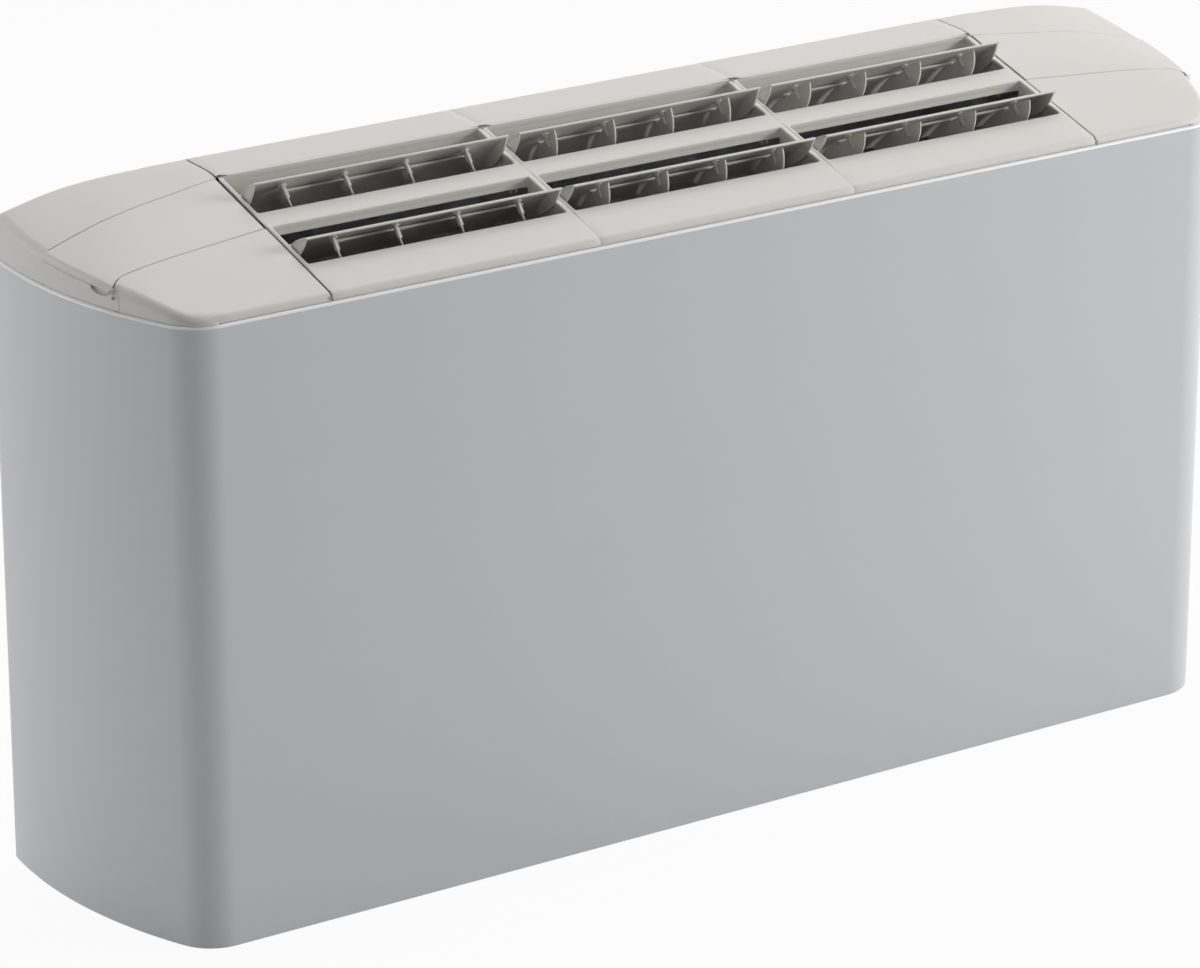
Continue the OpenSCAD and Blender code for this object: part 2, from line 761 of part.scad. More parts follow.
// The drain pan stands on the fan deck under the low edge of the coil.
module drain_pan() {
    half = shoulder_x - sheet_t - seat_gap;
    wall = 2;
    color("dimgray") difference() {
        union() {
            translate([-half, pan_front, fan_deck_z + sheet_t])
                cube([2 * half, pan_back - pan_front, pan_h]);
            drain_axis() cylinder(r = drain_r, h = drain_l + 2 * sheet_t);
        }
        translate([-half + wall, pan_front + wall, fan_deck_z + sheet_t + wall])
            cube([2 * (half - wall), pan_back - pan_front - 2 * wall, pan_h]);
        drain_axis() translate([0, 0, -past])
            cylinder(r = drain_r - wall, h = drain_l + 2 * chassis_flange);
    }
}

// The fan deck is a plate with turned-down ends and a window over each scroll.
module fan_deck() {
    half = shoulder_x - sheet_t;
    deck_front = front_y + cover_t + flange_w;
    color(zinc) difference() {
        union() {
            translate([-half, deck_front, fan_deck_z])
                cube([2 * half, back_y - sheet_t - deck_front, sheet_t]);
            for (x = [-half, half - sheet_t])
                translate([x, deck_front, fan_deck_z - chassis_flange])
                    cube([sheet_t, back_y - sheet_t - deck_front, chassis_flange + join]);
        }
        for (x = [-fan_x, fan_x])
            translate([x - scroll_w / 2 + sheet_t, shaft_y - scroll_front + sheet_t, fan_deck_z - past])
                cube([scroll_w - 2 * sheet_t, throat_d - 2 * sheet_t, sheet_t + 2 * past]);
    }
}

module fan_housings() {
    color("gray") for (x = [-fan_x, fan_x]) translate([x, shaft_y, fan_z]) difference() {
        along_x(-scroll_w / 2, scroll_w / 2) polygon(scroll_section(0));
        along_x(-scroll_w / 2 + sheet_t, scroll_w / 2 - sheet_t) polygon(scroll_section(sheet_t));
        rotate([0, 90, 0]) cylinder(r = wheel_r - wheel_ring, h = 2 * scroll_w, center = true);
    }
}

// A double-inlet wheel: forward-curved blades between a middle disc and two rings.
module fan_wheels() {
    hub_r = 2.6 * shaft_r;
    rib = 2;
    color("dimgray") for (x = [-fan_x, fan_x]) translate([x, shaft_y, fan_z]) difference() {
        union() {
            along_x(-wheel_w / 2, wheel_w / 2) wheel_blade_ring();
            along_x(-rib / 2, rib / 2) circle(wheel_r);
            for (e = [-wheel_w / 2, wheel_w / 2 - rib]) along_x(e, e + rib) difference() {
                circle(wheel_r);
                circle(wheel_r - wheel_ring / 2);
            }
            along_x(-wheel_w / 6, wheel_w / 6) circle(hub_r);
        }
        along_x(-wheel_w, wheel_w) circle(shaft_r + run_fit);
    }
}

module wheel_blade_ring() {
    blade = 1;
    bend = wheel_ring * 0.8;
    intersection() {
        difference() {
            circle(wheel_r);
            circle(wheel_r - wheel_ring);
        }
        for (k = [0:wheel_blades - 1]) rotate(k * 360 / wheel_blades)
            translate([wheel_r - wheel_ring / 2, 0]) intersection() {
                difference() {
                    circle(bend);
                    circle(bend - blade);
                }
                translate([-wheel_ring, 0]) square([2 * wheel_ring, wheel_ring]);
            }
    }
}

module fan_shaft() {
    length = 2 * (fan_x + wheel_w / 4);
    color("silver") translate([0, shaft_y, fan_z]) rotate([0, 90, 0])
        cylinder(r = shaft_r, h = length, center = true);
}

module fan_motor() {
    bell_r = 0.78 * motor_r;
    bell_l = 14;
    color("dimgray") translate([0, shaft_y, fan_z]) rotate([0, 90, 0]) difference() {
        union() {
            cylinder(r = motor_r, h = motor_l, center = true);
            cylinder(r = bell_r, h = motor_l + 2 * bell_l, center = true);
        }
        cylinder(r = shaft_r + run_fit, h = 2 * motor_l, center = true);
    }
}

// The cradle hangs from the fan deck and clasps the motor with two rings.
module motor_cradle() {
    plate = 3;
    ring = 8;
    arm_w = 1.2 * motor_r;
    span = 0.7 * motor_l;
    color(zinc) translate([0, shaft_y, fan_z]) difference() {
        union() {
            for (x = [-span / 2, span / 2 - plate]) along_x(x, x + plate) {
                circle(motor_r + ring);
                translate([-arm_w / 2, 0]) square([arm_w, throat_h]);
            }
            translate([-span / 2, -arm_w / 2, throat_h - plate]) cube([span, arm_w, plate]);
        }
        rotate([0, 90, 0]) cylinder(r = motor_r + run_fit, h = 2 * motor_l, center = true);
    }
}

// The filter lies on the lower flanges of the shoulders: a barred frame with a thin mesh.
module air_filter() {
    half = shoulder_x - sheet_t - seat_gap;
    deep = body_d - 2 * chassis_flange - 2 * flange_w;
    mesh_t = 1;
    cells = 4;
    cell = (2 * half - (cells + 1) * filter_bar) / cells;
    color("slategray") translate([0, 0, filter_z]) {
        difference() {
            translate([-half, -deep / 2, 0]) cube([2 * half, deep, filter_t]);
            for (k = [0:cells - 1])
                translate([-half + filter_bar + k * (cell + filter_bar), -deep / 2 + filter_bar, -past])
                    cube([cell, deep - 2 * filter_bar, filter_t + 2 * past]);
        }
        translate([-half + filter_bar / 2, (filter_bar - deep) / 2, filter_t / 2])
            cube([2 * half - filter_bar, deep - filter_bar, mesh_t]);
    }
}

// The control box hangs on the outside of the right shoulder, with its knob under the right door.
module control_box() {
    wall = 2;
    color("gainsboro") translate([shoulder_x, -control_d / 2, control_top - control_h]) difference() {
        cube([control_w, control_d, control_h]);
        translate([wall, wall, -past])
            cube([control_w - 2 * wall, control_d - 2 * wall, control_h - wall + past]);
        translate([control_w / 2, control_d / 2, 0]) cylinder(r = stem_r + run_fit, h = 2 * control_h);
    }
}

// A knob with a skirt, a pointer and a stem that turns in the top of the control box.
module control_knob() {
    skirt = 3;
    stem_l = 8;
    grip_r = 0.8 * knob_r;
    color("gainsboro") translate([shoulder_x + control_w / 2, 0, control_top]) {
        translate([0, 0, seat_gap]) cylinder(r = knob_r, h = skirt);
        translate([0, 0, seat_gap]) cylinder(r = grip_r, h = knob_h);
        translate([-skirt / 2, 0, seat_gap]) cube([skirt, (grip_r + knob_r) / 2, knob_h]);
        translate([0, 0, -stem_l]) cylinder(r = stem_r, h = stem_l + skirt);
    }
}

module screws() {
    head_h = 2.2;
    color("silver") screw_places() {
        rotate([90, 0, 0]) cylinder(r = 2 * screw_r, h = head_h);
        rotate([-90, 0, 0]) cylinder(r = screw_r, h = 2 * sheet_t);
    }
}

cabinet_cover();
left_end_cap();
right_end_cap();
left_door();
right_door();
for (c = [0:2]) grille(c);
for (r = [0, 1]) for (c = [0:2]) {
    louvre(r, c);
    tie_bar(r, c);
    for (k = [1:vane_count])
        vane(r, c, k - 1);
}
back_panel();
left_shoulder();
right_shoulder();
coil_fins();
coil_tubes();
drain_pan();
fan_deck();
fan_housings();
fan_wheels();
fan_shaft();
fan_motor();
motor_cradle();
air_filter();
control_box();
control_knob();
screws();
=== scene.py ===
# %% [markdown]
# # A fan coil unit, dressed in Blender
# The unit is a low cabinet that stands against a wall. A bent, painted sheet makes its front and its
# two bowed sides, and a moulded plastic head with louvres and vanes closes the top.
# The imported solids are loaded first. They say where everything is, so no piece is fitted by eye.

# %% Load the solids
import json
import math

import bpy
import bmesh
import numpy as np
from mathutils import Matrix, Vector


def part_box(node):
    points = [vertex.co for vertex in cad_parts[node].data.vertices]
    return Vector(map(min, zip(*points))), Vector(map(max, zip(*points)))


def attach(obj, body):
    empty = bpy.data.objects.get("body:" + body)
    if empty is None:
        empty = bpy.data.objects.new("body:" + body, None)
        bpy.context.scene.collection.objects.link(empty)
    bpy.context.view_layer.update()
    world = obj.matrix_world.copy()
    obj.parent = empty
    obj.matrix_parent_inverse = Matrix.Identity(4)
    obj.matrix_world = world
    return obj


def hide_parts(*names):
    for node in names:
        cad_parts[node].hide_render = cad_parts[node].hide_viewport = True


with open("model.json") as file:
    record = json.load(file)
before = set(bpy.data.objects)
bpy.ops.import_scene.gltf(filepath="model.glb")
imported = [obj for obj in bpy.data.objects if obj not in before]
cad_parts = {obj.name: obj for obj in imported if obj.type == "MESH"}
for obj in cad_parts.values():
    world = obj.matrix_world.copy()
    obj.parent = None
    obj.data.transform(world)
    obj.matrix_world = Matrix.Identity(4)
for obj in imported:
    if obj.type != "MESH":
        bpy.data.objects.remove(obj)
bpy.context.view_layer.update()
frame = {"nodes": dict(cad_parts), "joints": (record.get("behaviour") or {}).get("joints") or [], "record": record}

# %% [markdown]
# ## Measures
# Lengths are written in millimetres, as on a drawing, and become metres when a mesh is made.
# The main ones are read from the boxes of the loaded solids. The others repeat the drawing.

# %% Main measures
MM = 0.001


def node_box(name):
    """Lowest and highest corner of a solid, in millimetres."""
    low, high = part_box(name)
    return np.array(low) / MM, np.array(high) / MM


cover_low, cover_high = node_box("cabinet_cover")
cap_low = node_box("right_end_cap")[0]
grille_high = node_box("middle_grille")[1]
half_w, rim_h = cover_high[0], cover_high[2]
front_y, back_y = cover_low[1], cover_high[1]
cap_x = cap_low[0]
deck_y = cap_low[1]
head_step = deck_y - front_y
module_w = round(2 * grille_high[0])
joint_at = {j["name"]: np.array(j["pos_m"]) / MM for j in frame["joints"]}
low_row = joint_at["louvre_front_middle_tilt"]
high_row = joint_at["louvre_back_middle_tilt"]
slope = math.atan2(high_row[2] - low_row[2], high_row[1] - low_row[1])
side_r, bow_y, corner_r = 360.0, 65.0, 36.0
deck_lift = 5.5
deck_z = rim_h + deck_lift
print("width", 2 * half_w, "rim", rim_h, "slope", round(math.degrees(slope), 2))

# %% [markdown]
# ## From arrays to a mesh
# Every shape below is a grid of points, worked out as one array. A grid becomes quads by joining
# each point to its next neighbours. A few grids together make one piece: their common edges are
# merged, and each grid is turned so that its faces look out of the material.

# %% Grids and pieces
tiny = 1e-6
wide_merge, fine_merge = 0.002, 0.0005
crease = math.radians(38)
UP, TO_RIGHT = (0, 0, 1), (1, 0, 0)


def quads(rows, cols, wrap=False):
    """Quads of a grid: point (i, j) with (i+1, j), (i+1, j+1) and (i, j+1).

    With wrap the last column is joined to the first.
    """
    i, j = np.meshgrid(np.arange(rows - 1), np.arange(cols if wrap else cols - 1), indexing="ij")
    k = (j + 1) % cols
    return np.stack([i * cols + j, (i + 1) * cols + j, (i + 1) * cols + k, i * cols + k], -1).reshape(-1, 4)


def sheet_of(points, outward, wrap=False):
    """One grid as (points, faces), turned over if most of its faces look away from the direction outward."""
    points = np.asarray(points, float)
    rows, cols = points.shape[:2]
    faces = quads(rows, cols, wrap)
    flat = points.reshape(-1, 3)
    a, b, c, d = (flat[faces[:, k]] for k in range(4))
    normal = np.cross(c - a, d - b)
    look = outward((a + b + c + d) / 4) if callable(outward) else np.asarray(outward, float)
    if (normal * look).sum() < 0:
        faces = faces[:, ::-1]
    return flat, [tuple(f) for f in faces.tolist()]


def make_piece(name, parts, body, slot, nodes=(), mirror=False, merge=wide_merge):
    """Joins the parts into one mesh object in metres, merges common points and drops faces with no area."""
    points, faces, start = [], [], 0
    for part_points, part_faces in parts:
        points.append(part_points)
        faces += [tuple(start + i for i in f) for f in part_faces]
        start += len(part_points)
    points = np.concatenate(points)
    if mirror:
        points = points * [-1, 1, 1]
        faces = [f[::-1] for f in faces]
    mesh = bpy.data.meshes.new(name)
    mesh.from_pydata((points * MM).tolist(), [], faces)
    build = bmesh.new()
    build.from_mesh(mesh)
    bmesh.ops.remove_doubles(build, verts=build.verts, dist=merge * MM)
    bmesh.ops.dissolve_degenerate(build, edges=build.edges, dist=merge * MM)
    build.to_mesh(mesh)
    build.free()
    mesh.polygons.foreach_set("use_smooth", np.ones(len(mesh.polygons), bool))
    mesh.set_sharp_from_angle(angle=crease)
    piece = bpy.data.objects.new(name, mesh)
    bpy.context.scene.collection.objects.link(piece)
    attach(piece, body)
    if nodes:
        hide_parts(*nodes)
    piece.data.materials.append(FINISH[slot])
    return piece


def add_wall(piece, thickness):
    """Gives a skin its wall, which grows inwards from the visible face."""
    wall = piece.modifiers.new("wall", "SOLIDIFY")
    wall.thickness = thickness * MM
    wall.offset = -1
    return piece


def face_outwards(piece):
    """Turns the faces of a closed piece outwards."""
    build = bmesh.new()
    build.from_mesh(piece.data)
    bmesh.ops.recalc_face_normals(build, faces=build.faces)
    build.to_mesh(piece.data)
    build.free()
    return piece


def keep_flats_flat(piece):
    """Lets the large faces set the shading, so that a small rounded edge does not darken them."""
    piece.modifiers.new("flats", "WEIGHTED_NORMAL")
    return piece


def arc(centre, radius, start, end, steps):
    """Points on a circle from one angle to another, in degrees."""
    a = np.radians(np.linspace(start, end, steps + 1))
    return np.stack([centre[0] + radius * np.cos(a), centre[1] + radius * np.sin(a)], -1)


# %% [markdown]
# ## Finishes
# All finishes are procedural. They read the object's own coordinates in metres, so a grain has its
# real size and stays on the piece when it moves. Two node groups hold what several finishes share:
# the fine grain of a moulded or powder coated face, and the clouded crystals of zinc.

# %% Shared node groups


def new_group(name, inputs, outputs):
    """An empty node group and the sockets it is given; inputs maps a name to (socket type, default)."""
    group = bpy.data.node_groups.new(name, "ShaderNodeTree")
    for label, (kind, default) in inputs.items():
        group.interface.new_socket(label, in_out="INPUT", socket_type=kind).default_value = default
    for label, kind in outputs.items():
        group.interface.new_socket(label, in_out="OUTPUT", socket_type=kind)
    return group, group.nodes.new("NodeGroupInput").outputs


def add_node(tree, kind, values=(), **settings):
    """A node with its settings; an input takes a value, or a link from the socket given for it."""
    node = tree.nodes.new(kind)
    for key, value in settings.items():
        setattr(node, key, value)
    for key, value in dict(values).items():
        if isinstance(value, bpy.types.NodeSocket):
            tree.links.new(value, node.inputs[key])
        else:
            node.inputs[key].default_value = value
    return node


def maths(tree, operation, *values):
    """The result of an operation on numbers and sockets."""
    return add_node(tree, "ShaderNodeMath", enumerate(values), operation=operation).outputs[0]


def scaled_colour(tree, colour, factor):
    """A colour times a factor."""
    return add_node(tree, "ShaderNodeVectorMath", {0: colour, "Scale": factor}, operation="SCALE").outputs[0]


def grain_group():
    """Colour, roughness and height of a fine-grained face.

    A fine noise makes the grain and a broad one the slow change. Their sum, fine_share x fine + broad,
    less its mean, shifts the colour and the roughness.
    """
    fine_share, broad_scale, rough_spread = 0.35, 5.0, 0.12
    mean = 0.5 + 0.5 * fine_share
    group, given = new_group(
        "fine grain",
        {"Colour": ("NodeSocketColor", (0.6, 0.6, 0.6, 1)), "Grain": ("NodeSocketFloat", 900.0),
         "Drift": ("NodeSocketFloat", 0.04), "Roughness": ("NodeSocketFloat", 0.5)},
        {"Colour": "NodeSocketColor", "Roughness": "NodeSocketFloat", "Height": "NodeSocketFloat"})
    place = add_node(group, "ShaderNodeTexCoord").outputs["Object"]
    fine = add_node(group, "ShaderNodeTexNoise", {
        "Vector": place, "Scale": given["Grain"], "Detail": 3.0, "Roughness": 0.6}).outputs["Fac"]
    broad = add_node(group, "ShaderNodeTexNoise", {
        "Vector": place, "Scale": broad_scale, "Detail": 3.0}).outputs["Fac"]
    both = maths(group, "MULTIPLY_ADD", fine, fine_share, broad)
    change = maths(group, "SUBTRACT", both, mean)
    share = maths(group, "MULTIPLY_ADD", change, given["Drift"], 1.0)
    rough = maths(group, "MULTIPLY_ADD", change, rough_spread, given["Roughness"])
    tint = scaled_colour(group, given["Colour"], share)
    add_node(group, "NodeGroupOutput", {"Colour": tint, "Roughness": rough, "Height": fine})
    return group


def spangle_group():
    """Colour and roughness of zinc coated sheet: cells of one tone each, broken by a fine noise."""
    warp_scale, warp_shift, rough_spread = 60.0, (0.012, 0.012, 0.012), 0.15
    group, given = new_group(
        "zinc spangle",
        {"Colour": ("NodeSocketColor", (0.6, 0.6, 0.6, 1)), "Cells": ("NodeSocketFloat", 90.0),
         "Contrast": ("NodeSocketFloat", 0.25), "Roughness": ("NodeSocketFloat", 0.35)},
        {"Colour": "NodeSocketColor", "Roughness": "NodeSocketFloat"})
    place = add_node(group, "ShaderNodeTexCoord").outputs["Object"]
    warp = add_node(group, "ShaderNodeTexNoise", {"Vector": place, "Scale": warp_scale, "Detail": 2.0})
    bent = add_node(group, "ShaderNodeVectorMath", {0: warp.outputs["Color"], 1: warp_shift, 2: place},
                    operation="MULTIPLY_ADD")
    cells = add_node(group, "ShaderNodeTexVoronoi", {"Vector": bent.outputs[0], "Scale": given["Cells"]})
    tone = add_node(group, "ShaderNodeSeparateColor", {"Color": cells.outputs["Color"]}).outputs
    change = maths(group, "SUBTRACT", tone["Red"], 0.5)
    share = maths(group, "MULTIPLY_ADD", change, given["Contrast"], 1.0)
    rough = maths(group, "MULTIPLY_ADD", tone["Green"], rough_spread, given["Roughness"])
    tint = scaled_colour(group, given["Colour"], share)
    add_node(group, "NodeGroupOutput", {"Colour": tint, "Roughness": rough})
    return group


GRAIN = grain_group()
SPANGLE = spangle_group()

# %% [markdown]
# A grained finish is the shared grain in a Principled shader, with a bump of its own depth. The
# painted cover and the moulded head differ in colour, in grain and in gloss: powder coat is a little
# cooler and smoother than the moulding, which has a fine matt texture.
# On the real cover the bend of the rim catches the light as a white line. The lamps here are too soft
# for that, so a painted highlight stands in: the paint fades to a lighter tone along the bend.

# %% Finishes by slot
zinc_metallic = 0.85
# The colour of the painted highlight on the rim's bend, and the heights over which it fades in.
rim_highlight_paint = (0.93, 0.93, 0.93)
rim_highlight_from, rim_highlight_to = rim_h - 2.4, rim_h - 1.6
MIX_SHARE, MIX_FIRST, MIX_SECOND, MIX_RESULT = 0, 6, 7, 2


def dressed(name, group, metallic, values):
    """A material whose Principled shader takes its colour and roughness from a shared group."""
    material = bpy.data.materials.new(name)
    material.use_nodes = True
    tree = material.node_tree
    shader = tree.nodes["Principled BSDF"]
    shader.inputs["Metallic"].default_value = metallic
    face = add_node(tree, "ShaderNodeGroup", values, node_tree=group)
    tree.links.new(face.outputs["Colour"], shader.inputs["Base Color"])
    tree.links.new(face.outputs["Roughness"], shader.inputs["Roughness"])
    return material, tree, face, shader


def grained(name, colour, grain, drift, roughness, bump, metallic=0.0):
    """A grained finish; bump is the depth of the grain in millimetres."""
    values = {"Colour": (*colour, 1), "Grain": grain, "Drift": drift, "Roughness": roughness}
    material, tree, face, shader = dressed(name, GRAIN, metallic, values)
    relief = add_node(tree, "ShaderNodeBump", {
        "Strength": 1.0, "Distance": bump * MM, "Height": face.outputs["Height"]})
    tree.links.new(relief.outputs["Normal"], shader.inputs["Normal"])
    return material


def spangled(name, colour, cells, contrast, roughness):
    """A zinc coated metal finish."""
    values = {"Colour": (*colour, 1), "Cells": cells, "Contrast": contrast, "Roughness": roughness}
    return dressed(name, SPANGLE, zinc_metallic, values)[0]


def paint_rim_highlight(material, colour, start, end):
    """Paints a highlight: fades a paint to a lighter colour between two heights.

    A Mix node lists a socket of each data type, so its colour sockets are picked by their numbers.
    """
    tree = material.node_tree
    base = tree.nodes["Principled BSDF"].inputs["Base Color"]
    paint = base.links[0].from_socket
    place = add_node(tree, "ShaderNodeTexCoord").outputs["Object"]
    axes = add_node(tree, "ShaderNodeSeparateXYZ", {0: place})
    fade = add_node(tree, "ShaderNodeMapRange", {
        "Value": axes.outputs["Z"], "From Min": start * MM, "From Max": end * MM})
    mix = add_node(tree, "ShaderNodeMix", {
        MIX_SHARE: fade.outputs["Result"], MIX_FIRST: paint, MIX_SECOND: (*colour, 1)}, data_type="RGBA")
    tree.links.new(mix.outputs[MIX_RESULT], base)


FINISH = {
    "cover_paint": grained("cover paint", (0.62, 0.625, 0.64), 700.0, 0.03, 0.32, 0.015),
    "head_plastic": grained("head plastic", (0.66, 0.645, 0.615), 1500.0, 0.035, 0.5, 0.03),
    "galvanised": spangled("zinc sheet", (0.62, 0.64, 0.66), 90.0, 0.3, 0.3),
    "fin_aluminium": grained("fin aluminium", (0.24, 0.245, 0.255), 400.0, 0.1, 0.45, 0.01, 0.8),
    "copper": grained("copper tube", (0.62, 0.30, 0.17), 250.0, 0.25, 0.3, 0.01, 1.0),
    "black_plastic": grained("black plastic", (0.035, 0.035, 0.04), 1200.0, 0.2, 0.5, 0.03),
    "steel": grained("bright steel", (0.6, 0.61, 0.63), 300.0, 0.12, 0.28, 0.005, 1.0),
    "motor_grey": grained("motor paint", (0.10, 0.105, 0.115), 500.0, 0.15, 0.4, 0.03),
    "control_plastic": grained("control plastic", (0.68, 0.68, 0.66), 1500.0, 0.03, 0.48, 0.03),
}
# Painted highlight: the cover paint turns lighter on the bend of the rim.
paint_rim_highlight(FINISH["cover_paint"], rim_highlight_paint, rim_highlight_from, rim_highlight_to)
for row in frame["record"]["subparts"]:
    node = frame["nodes"][row["node"]]
    node.data.materials.clear()
    node.data.materials.append(FINISH[row["material_slot"]])
print("finishes", len(FINISH))

# %% [markdown]
# ## The plan of the cabinet
# Seen from above, the front is straight, each side is a wide bow, and a smaller arc joins the two.
# The cover and the end caps both follow this plan, so it is one function. Moving the plan inwards
# keeps the same centres and only shortens the radii, so the normals never change.

# %% Plan of one side
bow_x = half_w - side_r
corner_y = front_y + corner_r
corner_x = bow_x + math.sqrt((side_r - corner_r) ** 2 - (corner_y - bow_y) ** 2)
join_angle = math.degrees(math.atan2(corner_y - bow_y, corner_x - bow_x))


def side_plan(inset, n_front=14, n_corner=26, n_bow=44):
    """Points and outward normals from the middle of the front round the corner to the back of the side."""
    end = math.degrees(math.asin((back_y - bow_y) / (side_r - inset)))
    front = np.stack([np.linspace(0, corner_x, n_front), np.full(n_front, front_y + inset)], -1)
    corner = arc((corner_x, corner_y), corner_r - inset, -90, join_angle, n_corner)[1:]
    bow = arc((bow_x, bow_y), side_r - inset, join_angle, end, n_bow)[1:]
    turn = np.concatenate([np.full(n_front, -90.0), np.linspace(-90, join_angle, n_corner + 1)[1:],
                           np.linspace(join_angle, end, n_bow + 1)[1:]])
    normal = np.stack([np.cos(np.radians(turn)), np.sin(np.radians(turn))], -1)
    return np.concatenate([front, corner, bow]), normal


def whole_plan(inset):
    """The plan from the back of the left side round the front to the back of the right side."""
    points, normals = side_plan(inset)
    flip = np.array([-1, 1])
    return np.concatenate([points[:0:-1] * flip, points]), np.concatenate([normals[:0:-1] * flip, normals])


print("corner arc up to", round(join_angle, 1), "degrees")

# %% [markdown]
# ## The cover
# The cover is one sheet with its top and bottom edges turned in. Its section is a thin, long C with
# round bends, and that closed section is carried along the plan. The bend at the top shows as a bright
# line round the rim, partly from its curve and partly from a painted highlight along it.

# %% Cover
sheet_t = 1.2
flange_w = 12.0
rim_bend = 2.6
foot_bend = 2.4
wall_rows = 9
bend_steps, rim_steps = 6, 8


def cover_section():
    """Closed loop of (inset, height): the outer skin from the lower flange up, then the inner skin back."""
    t = sheet_t
    outer = np.concatenate([
        [[flange_w, 0.0]], arc((foot_bend, foot_bend), foot_bend, 270, 180, bend_steps),
        np.stack([np.zeros(wall_rows), np.linspace(foot_bend, rim_h - rim_bend, wall_rows + 2)[1:-1]], -1),
        arc((rim_bend, rim_h - rim_bend), rim_bend, 180, 90, rim_steps), [[flange_w, rim_h]]])
    inner = np.concatenate([
        [[flange_w, rim_h - t]], arc((rim_bend, rim_h - rim_bend), rim_bend - t, 90, 180, bend_steps),
        arc((foot_bend, foot_bend), foot_bend - t, 180, 270, bend_steps), [[flange_w, t]]])
    return np.concatenate([outer, inner])


def make_cover():
    """The section carried along the plan: point = plan - inset x normal, at the section's height."""
    plan, normal = whole_plan(0.0)
    section = cover_section()
    flat = plan[:, None, :] - section[None, :, :1] * normal[:, None, :]
    height = np.broadcast_to(section[None, :, 1:], (len(plan), len(section), 1))
    grid = np.concatenate([flat, height], -1)
    centre = np.array([0.0, 0.0, rim_h / 2])
    points, faces = sheet_of(grid, lambda c: (c - centre) * [1, 1, 0], wrap=True)
    ring = list(range(len(section)))
    last = [(len(plan) - 1) * len(section) + k for k in ring]
    ends = [tuple(ring), tuple(last[::-1])]
    piece = make_piece("cover_sheet", [(points, faces + ends)], "chassis", "cover_paint", ["cabinet_cover"])
    return keep_flats_flat(face_outwards(piece))


cover = make_cover()
print("cover faces", len(cover.data.polygons))

# %% [markdown]
# ## The section of the head
# From the front the head rises with a small round edge, follows the sloping deck, turns over a soft
# ridge and falls with a round back edge. Deck points are given as (x, s, n): across, along the slope
# from its front edge, and above the deck.

# %% Section of the head
front_bar, slot_w, mid_bar, back_bar = 41.6, 53.0, 20.0, 8.4
front_round, ridge_round, back_round = 6.0, 60.0, 12.0
ridge_s = front_bar + 2 * slot_w + mid_bar + back_bar
ridge_y = deck_y + ridge_s * math.cos(slope)
ridge_z = deck_z + ridge_s * math.sin(slope)
ridge_c = (ridge_y + ridge_round * math.tan(slope / 2), ridge_z - ridge_round)
slot_starts = (front_bar, front_bar + slot_w + mid_bar)
joint_line = 0.4
joint_depth = 0.9
edge_steps, deck_steps, ridge_steps, back_steps = 9, 3, 8, 10


def on_deck(x, s, n):
    """Deck coordinates to the frame: s runs up the slope and n stands square to it."""
    c, d = math.cos(slope), math.sin(slope)
    return np.stack(np.broadcast_arrays(x, deck_y + s * c - n * d, deck_z + s * d + n * c), -1)


def front_section(end_s):
    """From the joint with the cover up the round front edge to deck distance end_s, as (y, z)."""
    degrees = math.degrees(slope)
    lift = front_round * (1 - math.sin(slope)) / math.cos(slope)
    foot = [[deck_y + joint_depth, rim_h],
            [deck_y + joint_depth, rim_h + joint_line],
            [deck_y, rim_h + joint_line]]
    edge = arc((deck_y + front_round, deck_z - lift), front_round, 180, 90 + degrees, edge_steps)
    deck = on_deck(0.0, np.linspace(lift, end_s, deck_steps + 1)[1:], 0.0)[:, 1:]
    return np.concatenate([foot, edge, deck])


def back_section(start_s):
    """From deck distance start_s over the ridge and the round back edge down to the rim, as (y, z)."""
    start = on_deck(0.0, np.array([start_s]), 0.0)[:, 1:]
    ridge = arc(ridge_c, ridge_round, 90 + math.degrees(slope), 90, ridge_steps)
    edge = arc((back_y - back_round, ridge_z - back_round), back_round, 90, 0, back_steps)
    return np.concatenate([start, ridge, edge, [[back_y, rim_h]]])


print("ridge", round(ridge_z, 1))

# %% [markdown]
# ## The grilles
# A grille is a skin with two long slots. Round each slot the skin is a ring: a loop of points starts
# as the edge of the ring, shrinks to the slot, turns over a small fillet and runs down the wall. All
# loops have the same number of points, whatever their size, so they stack into one grid.

# %% Grilles
seam_gap = 0.4
slot_end = 3.7
slot_depth = 27.0
slot_fillet = 1.1
slot_corner = 1.6
lip_depth, lip_step = 4.5, 0.8
bar_depth = 9.5
grille_wall, back_margin = 1.8, 0.4
long_steps, short_steps, corner_steps = 24, 10, 4
fillet_steps, slot_rows = 5, 7
look_height = 8.0


def slot_loop(x0, x1, s0, s1, radius):
    """A rectangle with round corners as one closed loop of a fixed number of points, as (x, s)."""
    r = max(radius, tiny)
    run_x = np.linspace(x0 + r, x1 - r, long_steps + 1)
    run_s = np.linspace(s0 + r, s1 - r, short_steps + 1)
    front = np.stack([run_x, np.full_like(run_x, s0)], -1)
    right = np.stack([np.full_like(run_s, x1), run_s], -1)
    back = np.stack([run_x[::-1], np.full_like(run_x, s1)], -1)
    left = np.stack([np.full_like(run_s, x0), run_s[::-1]], -1)
    return np.concatenate([
        front, arc((x1 - r, s0 + r), r, -90, 0, corner_steps)[1:-1],
        right, arc((x1 - r, s1 - r), r, 0, 90, corner_steps)[1:-1],
        back, arc((x0 + r, s1 - r), r, 90, 180, corner_steps)[1:-1],
        left, arc((x0 + r, s0 + r), r, 180, 270, corner_steps)[1:-1]])


